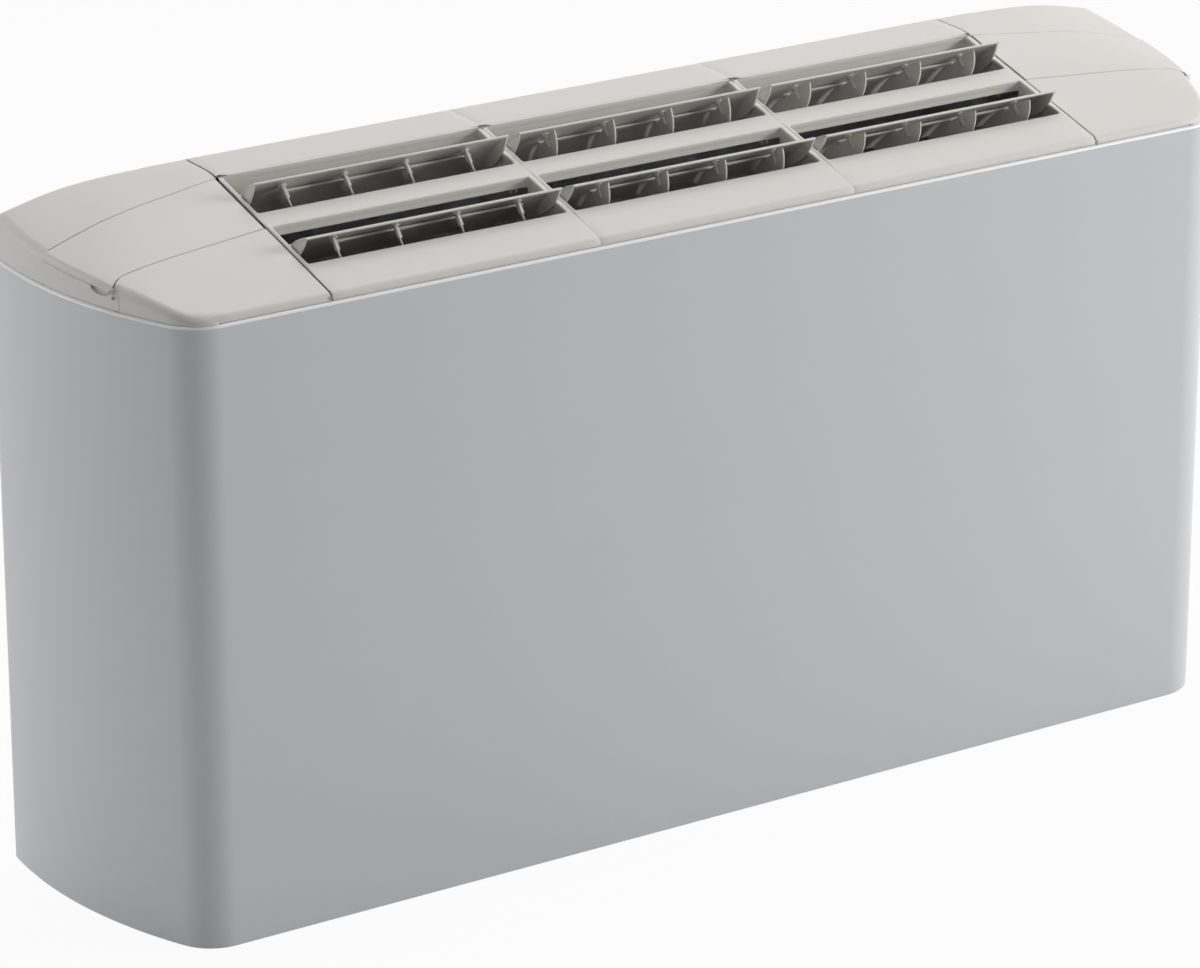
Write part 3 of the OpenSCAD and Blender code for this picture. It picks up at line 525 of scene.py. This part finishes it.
def slot_ring(x0, x1, cell, start):
    """The skin round one slot: loops from the cell's edge, over the fillet, down the lip and its wall.

    Beside the middle bar the wall is short, so the inside of the unit shows dark below the bar.
    """
    inner = np.array([x0 + slot_end, x1 - slot_end, start, start + slot_w])
    outwards = np.array([-1, 1, -1, 1])
    bar_s = front_bar + slot_w if start == front_bar else start
    rows = [(slot_loop(x0, x1, *cell, 0.0), 0.0)]
    bend = np.radians(np.linspace(0, 90, fillet_steps + 1))
    profile = [(slot_fillet * (1 - math.sin(a)), -slot_fillet * (1 - math.cos(a))) for a in bend]
    profile += [(0.0, -lip_depth), (lip_step, -lip_depth - lip_step / 2)]
    profile += [(lip_step, -n) for n in np.linspace(lip_depth + lip_step, slot_depth, slot_rows)]
    for grow, n in profile:
        loop = slot_loop(*(inner + grow * outwards), slot_corner + grow)
        beside_bar = np.abs(loop[:, 1] - bar_s) < 2 * lip_step
        rows.append((loop, np.where(beside_bar, max(n, -bar_depth), n)))
    grid = np.stack([on_deck(loop[:, 0], loop[:, 1], n) for loop, n in rows])
    middle = on_deck((x0 + x1) / 2, start + slot_w / 2, look_height)
    return sheet_of(grid, lambda c: middle - c, wrap=True)


def make_grille(side, centre_x):
    """Front strip, two slot rings and back strip of one moulding, with a wall behind them."""
    x0 = centre_x - module_w / 2 + seam_gap / 2
    x1 = x0 + module_w - seam_gap
    across = np.linspace(x0, x1, long_steps + 1)
    edges = (front_bar / 2, front_bar + slot_w + mid_bar / 2,
             ridge_s - back_bar + slot_fillet + back_margin)
    parts = []
    strips = ((front_section(edges[0]), [0, -0.5, 1]), (back_section(edges[2]), [0, 0.5, 1]))
    for section, look in strips:
        grid = np.stack(np.broadcast_arrays(across[:, None], section[:, 0], section[:, 1]), -1)
        parts.append(sheet_of(grid, look))
    for k, start in enumerate(slot_starts):
        parts.append(slot_ring(x0, x1, edges[k:k + 2], start))
    piece = make_piece(side + "_grille_skin", parts, "chassis", "head_plastic", [side + "_grille"])
    return keep_flats_flat(add_wall(piece, grille_wall))


SIDES = ("left", "middle", "right")
for column, side in enumerate(SIDES):
    grille = make_grille(side, (column - 1) * module_w)
print("grille faces", len(grille.data.polygons))

# %% [markdown]
# ## The end caps
# A cap carries the section of the head on to the side, where a wide crown lets it fall. Its skin is
# laid in straight rulings from the grille to the outline, so that the two seams of the flap door are
# rulings too. Close to an edge the skin drops like a quarter circle, which makes the round edge.

# %% Height of the caps
crown_r, crown_slope = 600.0, math.radians(7.0)
run_end = 1.5 * module_w
blend_width, blend_reach, blend_least = 7.0, 40.0, 0.02


def section_height(y):
    """Height of the head's section: the sloping deck, the ridge arc and the level back."""
    deck = deck_z + (y - deck_y) * math.tan(slope)
    turn = ridge_c[1] + np.sqrt(np.maximum(ridge_round ** 2 - (y - ridge_c[0]) ** 2, 0.0))
    back = np.where(y < ridge_c[0], turn, ridge_z)
    return np.where(y < ridge_c[0] - ridge_round * math.sin(slope), deck, back)


def crown_height(x, y):
    """Height of the crown: a wide cylinder whose axis rises slowly to the back."""
    fall = crown_r - np.sqrt(np.maximum(crown_r ** 2 - (x - run_end) ** 2, 0.0))
    return ridge_z + (y - ridge_y) * math.tan(crown_slope) - fall / math.cos(crown_slope)


def cap_height(x, y):
    """The lower of section and crown, blended softly where they cross, but not beside the grille."""
    a, b = section_height(y), crown_height(x, y)
    soft = blend_width * np.clip((x - cap_x) / blend_reach, blend_least, 1.0)
    near = np.clip(1 - np.abs(a - b) / soft, 0.0, 1.0)
    return np.minimum(a, b) - near * near * soft / 4


def edge_drop(distance, radius):
    """Fall of a quarter circle at a distance from an edge: radius at the edge, nothing beyond radius."""
    inside = np.clip(radius - distance, 0.0, radius)
    return radius - np.sqrt(np.maximum(radius ** 2 - inside ** 2, 0.0))


# %% Outline of the caps
cap_r_front, cap_r_side, cap_r_back = 4.7, 7.0, 12.0
back_inset = 0.75
cap_back = back_y - back_inset
far_off = 1e3
cap_bow_r = side_r - head_step
cap_corner_r = corner_r - head_step
join_y = corner_y + cap_corner_r * math.sin(math.radians(join_angle))


def outline_x(y):
    """Distance of the outline from the middle at depth y: the corner arc in front, the bow behind it."""
    corner = corner_x + np.sqrt(np.maximum(cap_corner_r ** 2 - (y - corner_y) ** 2, 0.0))
    bow = bow_x + np.sqrt(cap_bow_r ** 2 - (y - bow_y) ** 2)
    return np.where(y < join_y, corner, bow)


def outline_normal(y):
    """Outward normal of the outline at depth y, in the plan."""
    x = outline_x(y)
    corner = np.stack([x - corner_x, y - corner_y], -1) / cap_corner_r
    bow = np.stack([x - bow_x, y - bow_y], -1) / cap_bow_r
    return np.where((y < join_y)[..., None], corner, bow)


def outline_distance(x, y):
    """Distance from a point to the corner arc or the bow, whichever it faces."""
    to_corner = np.hypot(x - corner_x, y - corner_y)
    angle = np.degrees(np.arctan2(y - corner_y, x - corner_x))
    faces_corner = (angle < join_angle) & (x > corner_x) & (y < corner_y)
    bow = cap_bow_r - np.hypot(x - bow_x, y - bow_y)
    far = np.where((x <= corner_x) & (y < corner_y), far_off, bow)
    return np.where(faces_corner, cap_corner_r - to_corner, far)


def spaced(length, near_start, near_end, steps):
    """Distances from 0 to length that crowd at both ends, for round edges there.

    tight holds the places of the crowded points as shares of the round edge.
    """
    tight = np.array([0.0, 0.03, 0.12, 0.26, 0.44, 0.66, 0.9])
    start, end = tight * near_start, length - tight[::-1] * near_end
    return np.concatenate([start, np.linspace(start[-1], end[0], steps + 2)[1:-1], end])


# %% [markdown]
# The flap door is hinged beside the grille and ends at the outline, where it lies on the cap's side
# wall. Its front seam bends outwards at the end, over a finger notch in that wall. The cap in front
# of the door, the door itself and the cap behind it are three patches of the same rulings.

# %% Patches of the caps
door_back_y, door_front_y, door_back_run, door_front_run = 54.0, 16.0, 24.0, 21.0
door_gap = 0.8
seam_r, door_edge_r = 0.7, 3.0
skirt = 2.6
tab_shift, tab_length = 6.0, 13.0
tab_share, door_tab_share = 0.25, 0.3
cap_wall, inner_foot, front_crowd = 1.4, 4.0, 0.06
ruling_steps = 22
front_rows, back_rows, door_rows = 26, 12, 24


def ruled(start_x, y_in, y_out, near_out, tab):
    """Rulings from (start_x, y_in) to the outline at y_out.

    tab is the share of the seam's bend that each row takes.
    """
    x_out = outline_x(y_out)
    inner = np.stack([np.full_like(y_in, start_x), y_in], -1)
    outer = np.stack([x_out, y_out], -1)
    length = np.hypot(*(outer - inner).T)
    columns = np.stack([spaced(n, seam_r, near_out, ruling_steps) for n in length])
    plan = inner[:, None] + (outer - inner)[:, None] * (columns / length[:, None])[..., None]
    left = length[:, None] - columns
    bend = np.clip((tab_length - left) / tab_length, 0.0, 1.0)
    plan[..., 1] -= tab[:, None] * tab_shift * bend * bend * (3 - 2 * bend)
    plan[:, -1, 0] = outline_x(plan[:, -1, 1])
    return plan


def wall_below(edge, rows):
    """Copies of an edge, each shifted in depth and lowered to its height."""
    wall = edge.repeat(len(rows), 0)
    for k, (shift, h) in enumerate(rows):
        wall[k, :, 1] += shift
        wall[k, :, 2] = np.minimum(wall[k, :, 2], h(wall[k, :, 2]))
    return wall


def with_walls(plan, height, foot_rows, foot_out, foot_in):
    """Adds the walls below the four edges of a patch: rows before and after it, columns at both ends."""
    grid = np.concatenate([plan, height[..., None]], -1)
    lowered = grid[:, -1:].repeat(len(foot_out), 1)
    normal = outline_normal(lowered[..., 1])
    lowered[..., :2] -= normal * np.array([d for d, _ in foot_out])[None, :, None]
    lowered[..., 2] = np.stack([h(grid[:, -1, 2]) for _, h in foot_out], -1)
    inner = grid[:, :1].repeat(len(foot_in), 1)
    inner[..., 2] = np.stack([h(grid[:, 0, 2]) for h in foot_in], -1)
    grid = np.concatenate([inner, grid, lowered], 1)
    before, after = foot_rows
    return np.concatenate([wall_below(grid[:1], before), grid, wall_below(grid[-1:], after)], 0)


def to_rim(extra):
    """A wall that ends a little above the rim of the cover."""
    return lambda z: np.full_like(z, rim_h + extra)


def below(depth):
    """A wall that ends a fixed depth below its upper edge."""
    return lambda z: z - depth


def cap_patch(y_in, y_out, tab, edge_r, seams, start_x):
    """Plan and height of one patch, lowered by the largest of the falls at its edges.

    seams holds the distances of the rows to the door's seams.
    """
    plan = ruled(start_x, y_in, y_out, edge_r, tab)
    x, y = plan[..., 0], plan[..., 1]
    drops = [edge_drop(outline_distance(x, y), edge_r),
             edge_drop(x - start_x, seam_r),
             np.where(x <= corner_x, edge_drop(y - deck_y, cap_r_front), 0.0),
             edge_drop(cap_back - y, cap_r_back)]
    drops += [np.broadcast_to(edge_drop(distance, seam_r)[:, None], x.shape) for distance in seams]
    return plan, cap_height(x, y) - np.max(drops, 0)


def make_cap(side, mirror):
    """The two fixed patches of a cap, the side wall under its door, and their walls."""
    outer_wall = [(0.0, to_rim(joint_line)), (joint_depth, to_rim(joint_line)), (joint_depth, to_rim(0.0))]
    inner_wall = [to_rim(0.0), to_rim(inner_foot)]
    seam_in, seam_out = -door_front_y - door_gap, -door_front_y - door_front_run - door_gap
    depth = seam_in - deck_y
    along = spaced(1.0, front_crowd, seam_r / depth, front_rows)
    tab = np.clip((along - 1 + tab_share) / tab_share, 0.0, 1.0)
    plan, height = cap_patch(deck_y + along * depth, deck_y + along * (seam_out - deck_y), tab,
                             cap_r_side, [(1 - along) * depth], cap_x)
    front = with_walls(plan, height, (outer_wall[::-1], [(0.0, below(skirt))]), outer_wall, inner_wall)
    seam_in, seam_out = door_back_y + door_gap, door_back_y - door_back_run + door_gap
    depth = cap_back - seam_in
    along = spaced(1.0, seam_r / depth, cap_r_back / depth, back_rows)
    plan, height = cap_patch(seam_in + along * depth, seam_out + along * (cap_back - seam_out),
                             np.zeros_like(along), cap_r_side, [along * depth], cap_x)
    back = with_walls(plan, height, ([(0.0, below(skirt))], [(0.0, to_rim(0.0))]), outer_wall, inner_wall)
    parts = [sheet_of(front, UP), sheet_of(back, UP), side_wall()]
    piece = make_piece(side + "_cap_skin", parts, "chassis", "head_plastic", [side + "_end_cap"], mirror)
    return keep_flats_flat(add_wall(piece, cap_wall))


# %% Side wall and finger notch
notch_y, notch_half, notch_depth, scoop = -31.0, 9.5, 4.5, 3.0
wall_gap, wall_lap, wall_proud = 0.5, 6.0, 0.06
wall_columns, wall_steps, scoop_steps = 100, 6, 6
wall_edge = ((0.25, 0.25), (1.2, 0.35))
scoop_start = 0.3


def side_wall():
    """The cap's wall under the door: from the rim to just below the door, with a round finger scoop.

    It laps a little over the walls of the two patches beside it and stands proud of them by a hair.
    """
    y = np.linspace(-door_front_y - door_front_run - tab_shift - wall_lap,
                    door_back_y - door_back_run + wall_lap, wall_columns)
    normal = outline_normal(y)
    x = outline_x(y) + wall_proud
    top = cap_height(x, y) - door_edge_r - skirt - wall_gap
    inside = np.clip(1 - ((y - notch_y) / notch_half) ** 2, 0.0, 1.0)
    sunk = notch_depth * np.sqrt(inside)
    top = top - sunk
    rows = [(joint_depth, np.full_like(y, rim_h)), (joint_depth, np.full_like(y, rim_h + joint_line))]
    rise = top - rim_h - joint_line
    rows += [(0.0, rim_h + joint_line + rise * k) for k in np.linspace(0, 1, wall_steps)]
    rows += [(inset, top + lift) for inset, lift in wall_edge]
    ledge = top + wall_edge[-1][1]
    rows += [(scoop * k, ledge + sunk * (1 - math.sqrt(1 - k * k)))
             for k in np.linspace(scoop_start, 1, scoop_steps)]
    grid = np.stack([np.stack([x - d * normal[:, 0], y - d * normal[:, 1], z], -1) for d, z in rows])
    return sheet_of(grid, TO_RIGHT)


def make_door(side, mirror):
    """The flap door: one patch between the seams, with a short skirt all round."""
    depth_in = door_back_y + door_front_y
    depth_out = door_back_y - door_back_run + door_front_y + door_front_run
    along = spaced(1.0, seam_r / depth_in, seam_r / depth_in, door_rows)
    y_in = -door_front_y + along * depth_in
    y_out = -door_front_y - door_front_run + along * depth_out
    tab = np.clip((door_tab_share - along) / door_tab_share, 0.0, 1.0)
    seams = [along * depth_in, (1 - along) * depth_in]
    plan, height = cap_patch(y_in, y_out, tab, door_edge_r, seams, cap_x + door_gap)
    skirts = [(0.0, below(skirt))]
    grid = with_walls(plan, height, (skirts, skirts), skirts, [below(skirt)])
    name = side + "_door"
    piece = make_piece(name + "_skin", [sheet_of(grid, UP)], name, "head_plastic", [name], mirror)
    return keep_flats_flat(add_wall(piece, cap_wall))


for side in ("left", "right"):
    make_cap(side, side == "left")
    make_door(side, side == "left")
print("cap outline at the side", round(float(outline_x(np.array(bow_y))), 1))

# %% [markdown]
# ## The louvres
# A louvre is a curved blade with lens-shaped end plates and two pivots. Each is built shut, in its own
# coordinates, and then turned about its pivot to where the solid stands. The blade is a closed arc
# section carried along its length, with both long edges round.

# %% Louvres
blade_r, blade_t, blade_top, blade_gap, blade_end_gap = 67.5, 1.8, 1.6, 1.0, 0.8
end_plate_drop, end_plate_sag, end_plate_t = 10.0, 0.7, 1.6
pivot_r = 2.0
vane_pitch, vane_count = 51.0, 4
swivel_y, boss_r, boss_drop = 9.0, 3.0, 3.2
open_angle = {"front": math.radians(52.0), "back": math.radians(60.0)}
vane_turn = {"left": math.radians(-30.0), "middle": 0.0, "right": math.radians(25.0)}
blade_half = slot_w / 2 - blade_gap
blade_len = module_w - seam_gap - 2 * slot_end - 2 * blade_end_gap
blade_cz = blade_top - blade_r
blade_mid = blade_r - blade_t / 2
vane_places = (np.arange(vane_count) - (vane_count - 1) / 2) * vane_pitch
soft_edge, pin_edge, bevel_share = 0.3, 0.25, 0.3
blade_steps, lip_steps, lens_points = 28, 6, 27


def placed(points, row, side):
    """Louvre coordinates to the frame: a turn about X by slope minus opening, then a move to the pivot."""
    a = slope - open_angle[row]
    x, y, z = points[..., 0], points[..., 1], points[..., 2]
    pivot = joint_at["louvre_%s_%s_tilt" % (row, side)]
    return np.stack([x, y * math.cos(a) - z * math.sin(a), y * math.sin(a) + z * math.cos(a)], -1) + pivot


def prism(loop, x0, x1, round_edge):
    """A closed loop of (y, z) carried from x0 to x1, with both rims rounded and a face on each end."""
    ahead = np.roll(loop, -1, 0) - np.roll(loop, 1, 0)
    inward = np.stack([-ahead[:, 1], ahead[:, 0]], -1)
    inward = inward / np.maximum(np.linalg.norm(inward, axis=1, keepdims=True), tiny)
    area = (loop[:, 0] * np.roll(loop[:, 1], -1) - np.roll(loop[:, 0], -1) * loop[:, 1]).sum()
    inward = inward * np.sign(area)
    r = round_edge
    rows = [(r, 0.0), (r * bevel_share, r * bevel_share), (0.0, r)]
    rings = [(d, x0 + e) for d, e in rows] + [(d, x1 - e) for d, e in rows[::-1]]
    grid = np.stack([np.column_stack([np.full(len(loop), x), loop + d * inward]) for d, x in rings])
    centre = np.array([0.0, *loop.mean(0)])
    points, faces = sheet_of(grid, lambda c: (c - centre) * [0, 1, 1], wrap=True)
    first = tuple(range(len(loop)))
    last = tuple((len(rings) - 1) * len(loop) + k for k in range(len(loop)))
    ends = [first[::-1], last] if area > 0 else [first, last[::-1]]
    return points, faces + ends


def blade_loop():
    """Section of the blade: outer arc, round edge, inner arc, round edge."""
    edge = math.degrees(math.asin((blade_half - blade_t / 2) / blade_r))
    outer = arc((0, blade_cz), blade_r, 90 + edge, 90 - edge, blade_steps)
    inner = arc((0, blade_cz), blade_r - blade_t, 90 - edge, 90 + edge, blade_steps)
    right, left = arc((0, blade_cz), blade_mid, 90 - edge, 90 + edge, 1)
    cap_right = arc(right, blade_t / 2, 90 - edge, -90 - edge, lip_steps)[1:-1]
    cap_left = arc(left, blade_t / 2, -90 + edge, -270 + edge, lip_steps)[1:-1]
    return np.concatenate([outer, cap_right, inner, cap_left])


def lens_loop():
    """Outline of an end plate between two arcs: the blade's middle line above, a shallower arc below.

    With the centres c and d on the z axis and the radii p and q, the arcs meet at the height
    (p^2 - q^2 - c^2 + d^2) / (2 (d - c)).
    """
    sag = end_plate_sag * end_plate_drop
    p, c = blade_mid, blade_cz
    q = (blade_half ** 2 + sag ** 2) / (2 * sag)
    d = q - end_plate_drop
    tip_z = (p ** 2 - q ** 2 - c ** 2 + d ** 2) / (2 * (d - c))
    tip_y = math.sqrt(p ** 2 - (tip_z - c) ** 2)
    y = np.linspace(-tip_y, tip_y, lens_points)
    upper = np.column_stack([y, c + np.sqrt(p ** 2 - y ** 2)])
    lower = np.column_stack([y, d - np.sqrt(q ** 2 - y ** 2)])
    return np.concatenate([upper, lower[-2:0:-1]])


def round_loop(y, z, radius, steps=24):
    """A circle as a loop of (y, z)."""
    return arc((y, z), radius, 0, 360, steps)[:-1]


def upright(x, y, radius, z0, z1):
    """A round pin or boss square to the blade: a prism along X, with its axes moved on by one place."""
    points, faces = prism(round_loop(x, y, radius), z0, z1, pin_edge)
    return points[:, [1, 2, 0]], faces


def arc_height(radius, y):
    """Height of an arc about the blade's centre at the distance y from the middle of the blade."""
    return blade_cz + math.sqrt(radius ** 2 - y ** 2)


def make_louvre(row, side):
    """Blade, end plates, pivots and the bosses that hold the vanes."""
    half = blade_len / 2
    pin = blade_end_gap + slot_end - seam_gap
    parts = [prism(blade_loop(), -half, half, soft_edge)]
    for x0 in (-half, half - end_plate_t):
        parts.append(prism(lens_loop(), x0, x0 + end_plate_t, soft_edge))
    for x0 in (-half - pin, half - end_plate_t / 2):
        parts.append(prism(round_loop(0.0, 0.0, pivot_r), x0, x0 + pin + end_plate_t / 2, soft_edge))
    boss_top = arc_height(blade_mid, swivel_y)
    for x in vane_places:
        parts.append(upright(x, -swivel_y, boss_r, -boss_drop, boss_top))
    parts = [(placed(points, row, side), faces) for points, faces in parts]
    name = "louvre_%s_%s" % (row, side)
    piece = make_piece(name + "_blade", parts, name, "head_plastic", [name], merge=fine_merge)
    return keep_flats_flat(piece)


# %% [markdown]
# ## The vanes
# Each louvre carries four vanes. A vane is a half disc with its top cut to the blade's curve. It hangs
# by a pin in a boss of the blade and swivels about it, and a tie bar in a notch of the tops turns all
# four together.

# %% Vanes
vane_r, vane_t, vane_gap, vane_fit, vane_limit = 24.0, 1.5, 1.5, 0.5, math.radians(45.0)
vane_pin_r, hub_r, hub_l = 1.1, 2.0, 8.0
vane_edge, top_points, round_steps = 0.45, (9, 13), 44
tie_arm, tie_drop, tie_t, tie_w, tie_pin_r = 9.0, 2.0, 1.6, 3.0, 0.7
tie_room = (tie_w / 2 + vane_t / 2 * math.sin(vane_limit)) / math.cos(vane_limit) + vane_fit
vane_notch = max(boss_drop, tie_drop + tie_t) + vane_fit


def vane_loop():
    """Outline of a vane as (y, z) from its swivel axis: the top with its notch, then the round edge."""
    top_r = blade_r - blade_t - vane_gap
    low = (blade_cz ** 2 - top_r ** 2 + vane_r ** 2) / (2 * blade_cz)
    wide = math.sqrt(vane_r ** 2 - low ** 2)
    notch = np.array([-swivel_y - boss_r - vane_fit, tie_arm - swivel_y + tie_room])
    top = [np.column_stack([y, blade_cz + np.sqrt(top_r ** 2 - y ** 2)])
           for y in (np.linspace(-wide, notch[0], top_points[0]),
                     np.linspace(notch[1], wide, top_points[1]))]
    floor = np.column_stack([notch, np.full(2, -vane_notch)])
    side = math.degrees(math.asin(low / vane_r))
    edge = arc((0, 0), vane_r, side, -180 - side, round_steps)[1:-1]
    return np.concatenate([top[0], floor, top[1], edge]) + [swivel_y, 0]


def turned(points, row, side, place):
    """Vane coordinates to the frame: a turn about the swivel axis, a move to the boss, then the louvre's."""
    t = vane_turn[side]
    x, y, z = points[..., 0], points[..., 1], points[..., 2]
    across = x * math.cos(t) - y * math.sin(t) + place
    along = x * math.sin(t) + y * math.cos(t) - swivel_y
    return placed(np.stack([across, along, z], -1), row, side)


def make_vane(row, side, k):
    """The plate with a rounded rim, its hub and swivel pin, and the small pin of the tie bar."""
    foot = -vane_notch - hub_l
    parts = [prism(vane_loop(), -vane_t / 2, vane_t / 2, vane_edge),
             upright(0.0, 0.0, hub_r, foot, -vane_notch),
             upright(0.0, 0.0, vane_pin_r, foot, arc_height(blade_r, swivel_y) - vane_fit),
             upright(0.0, tie_arm, tie_pin_r, -2 * vane_notch, -tie_drop)]
    parts = [(turned(points, row, side, vane_places[k]), faces) for points, faces in parts]
    name = "vane_%s_%s_%d" % (row, side, k + 1)
    piece = make_piece(name + "_plate", parts, name, "head_plastic", [name], merge=fine_merge)
    return keep_flats_flat(piece)


for row in ("front", "back"):
    for side in SIDES:
        make_louvre(row, side)
        for k in range(vane_count):
            vane = make_vane(row, side, k)
print("vane faces", len(vane.data.polygons))

# %% [markdown]
# ## The fins of the coil
# Below the slots lies the coil: a few hundred thin aluminium fins, with narrow gaps between them that
# show as dark lines. Each fin is a thin plate with a corrugated edge. All fins are one outline, repeated.

# %% Fins
coil_tilt = math.radians(29.0)
coil_y, coil_z, coil_h, coil_t = 60.0, 237.2, 222.0, 44.0
fin_pitch, fin_t, fin_wave, fin_waves = 2.2, 0.35, 1.2, 9
coil_half = 300.8


def make_fins():
    """One fin outline, a zigzag front and back edge, repeated along X as a single array."""
    h = np.linspace(0, coil_h, 2 * fin_waves + 1)
    edge = coil_t / 2 - fin_wave * (np.arange(len(h)) % 2)
    outline = np.concatenate([np.column_stack([-edge, h]), np.column_stack([edge, h])[::-1]])
    c, s = math.cos(coil_tilt), math.sin(coil_tilt)
    y = coil_y + outline[:, 0] * c - outline[:, 1] * s
    z = coil_z + outline[:, 0] * s + outline[:, 1] * c
    places = np.arange(-coil_half + fin_pitch, coil_half - fin_pitch, fin_pitch)
    n = len(outline)
    one = np.concatenate([np.column_stack([np.full(n, d), y, z]) for d in (-fin_t / 2, fin_t / 2)])
    points = one[None] + np.stack([places, 0 * places, 0 * places], -1)[:, None]
    rim = np.stack([np.arange(n), np.arange(n) + n, (np.arange(n) + 1) % n + n, (np.arange(n) + 1) % n], -1)
    faces = []
    for k in range(len(places)):
        start = k * 2 * n
        faces += [tuple(q) for q in (rim + start).tolist()]
        faces += [tuple(range(start + n - 1, start - 1, -1)), tuple(range(start + n, start + 2 * n))]
    piece = make_piece("coil_fin_pack", [(points.reshape(-1, 3), faces)], "chassis", "fin_aluminium",
                       ["coil_fins"], merge=fine_merge)
    face_outwards(piece)
    return len(places)


print("fins", make_fins())

# %% [markdown]
# ## Floor, light and camera
# The floor is a wide pale sheet that shows white to the camera and still takes the soft shadow. Two
# large soft lamps stand to the left and to the right, so the corner that faces the camera stays the
# darkest, and a wide one hangs above. Their powers were set by comparing tones with the photograph.

# %% Floor
floor_size, floor_drop = 40.0, 0.0005
floor_grey, floor_roughness, white_share = 0.8, 0.9, 0.94


def seen_by_camera(tree):
    """1 for camera, glossy and transmission rays, 0 for the light that falls on the object."""
    path = add_node(tree, "ShaderNodeLightPath").outputs
    some = maths(tree, "MAXIMUM", path["Is Camera Ray"], path["Is Glossy Ray"])
    return maths(tree, "MAXIMUM", some, path["Is Transmission Ray"])


def white_to_camera(tree, plain, white_kind, output, share):
    """Mixes a share of plain white into a shader, for the rays that the camera sees."""
    white = add_node(tree, white_kind, {"Color": (1, 1, 1, 1), "Strength": 1.0})
    part = maths(tree, "MULTIPLY", seen_by_camera(tree), share)
    mix = add_node(tree, "ShaderNodeMixShader", {"Fac": part, 1: plain.outputs[0], 2: white.outputs[0]})
    tree.links.new(mix.outputs[0], tree.nodes[output].inputs["Surface"])


def make_floor():
    """A pale sheet; to the camera most of it is plain white."""
    mesh = bpy.data.meshes.new("floor")
    corners = [(x * floor_size, y * floor_size, 0) for x, y in ((-1, -1), (1, -1), (1, 1), (-1, 1))]
    mesh.from_pydata(corners, [], [(0, 1, 2, 3)])
    floor = bpy.data.objects.new("floor", mesh)
    bpy.context.scene.collection.objects.link(floor)
    floor.location.z = -floor_drop
    material = bpy.data.materials.new("pale floor")
    material.use_nodes = True
    tree = material.node_tree
    shader = tree.nodes["Principled BSDF"]
    shader.inputs["Base Color"].default_value = (floor_grey, floor_grey, floor_grey, 1)
    shader.inputs["Roughness"].default_value = floor_roughness
    white_to_camera(tree, shader, "ShaderNodeEmission", "Material Output", white_share)
    mesh.materials.append(material)


make_floor()

# %% World and lamps


def make_world(strength):
    """A grey surround that lights softly, and is white where the camera looks at it."""
    world = bpy.data.worlds.new("studio")
    world.use_nodes = True
    tree = world.node_tree
    light = tree.nodes["Background"]
    light.inputs["Color"].default_value = (1, 1, 1, 1)
    light.inputs["Strength"].default_value = strength
    white_to_camera(tree, light, "ShaderNodeBackground", "World Output", 1.0)
    bpy.context.scene.world = world


def add_lamp(name, place, aim, size, power):
    """A large soft lamp at a place, turned to a point of the unit."""
    lamp = bpy.data.lights.new(name, "AREA")
    lamp.shape = "RECTANGLE"
    lamp.size, lamp.size_y = size
    lamp.energy = power
    holder = bpy.data.objects.new(name, lamp)
    bpy.context.scene.collection.objects.link(holder)
    holder.location = place
    holder.rotation_euler = (Vector(aim) - Vector(place)).to_track_quat("-Z", "Y").to_euler()


make_world(strength=0.2)
add_lamp("left lamp", (-3.0, 1.9, 0.7), (-0.45, 0.0, 0.25), (1.4, 1.2), 29.5)
add_lamp("right lamp", (2.6, -1.8, 1.4), (0.1, 0.0, 0.4), (1.6, 0.9), 64.0)
add_lamp("top lamp", (0.3, 0.7, 2.6), (0.0, 0.0, 0.5), (2.2, 1.8), 33.0)
bpy.context.scene.view_settings.view_transform = "Standard"
print("lamps", len(bpy.data.lights))

# %% Camera
eye = Vector((-2.170, -3.305, 1.746))
heading, dip = 0.5719, 0.3657
photo_w = 1200.0
focal_px = 5600.0
view = bpy.data.cameras.new("photo view")
view.sensor_width = 36.0
view.lens = focal_px / photo_w * view.sensor_width
view.clip_end = 100.0
camera = bpy.data.objects.new("photo view", view)
bpy.context.scene.collection.objects.link(camera)
look = Vector((math.sin(heading) * math.cos(dip), math.cos(heading) * math.cos(dip), -math.sin(dip)))
camera.location = eye
camera.rotation_euler = look.to_track_quat("-Z", "Y").to_euler()
bpy.context.scene.camera = camera
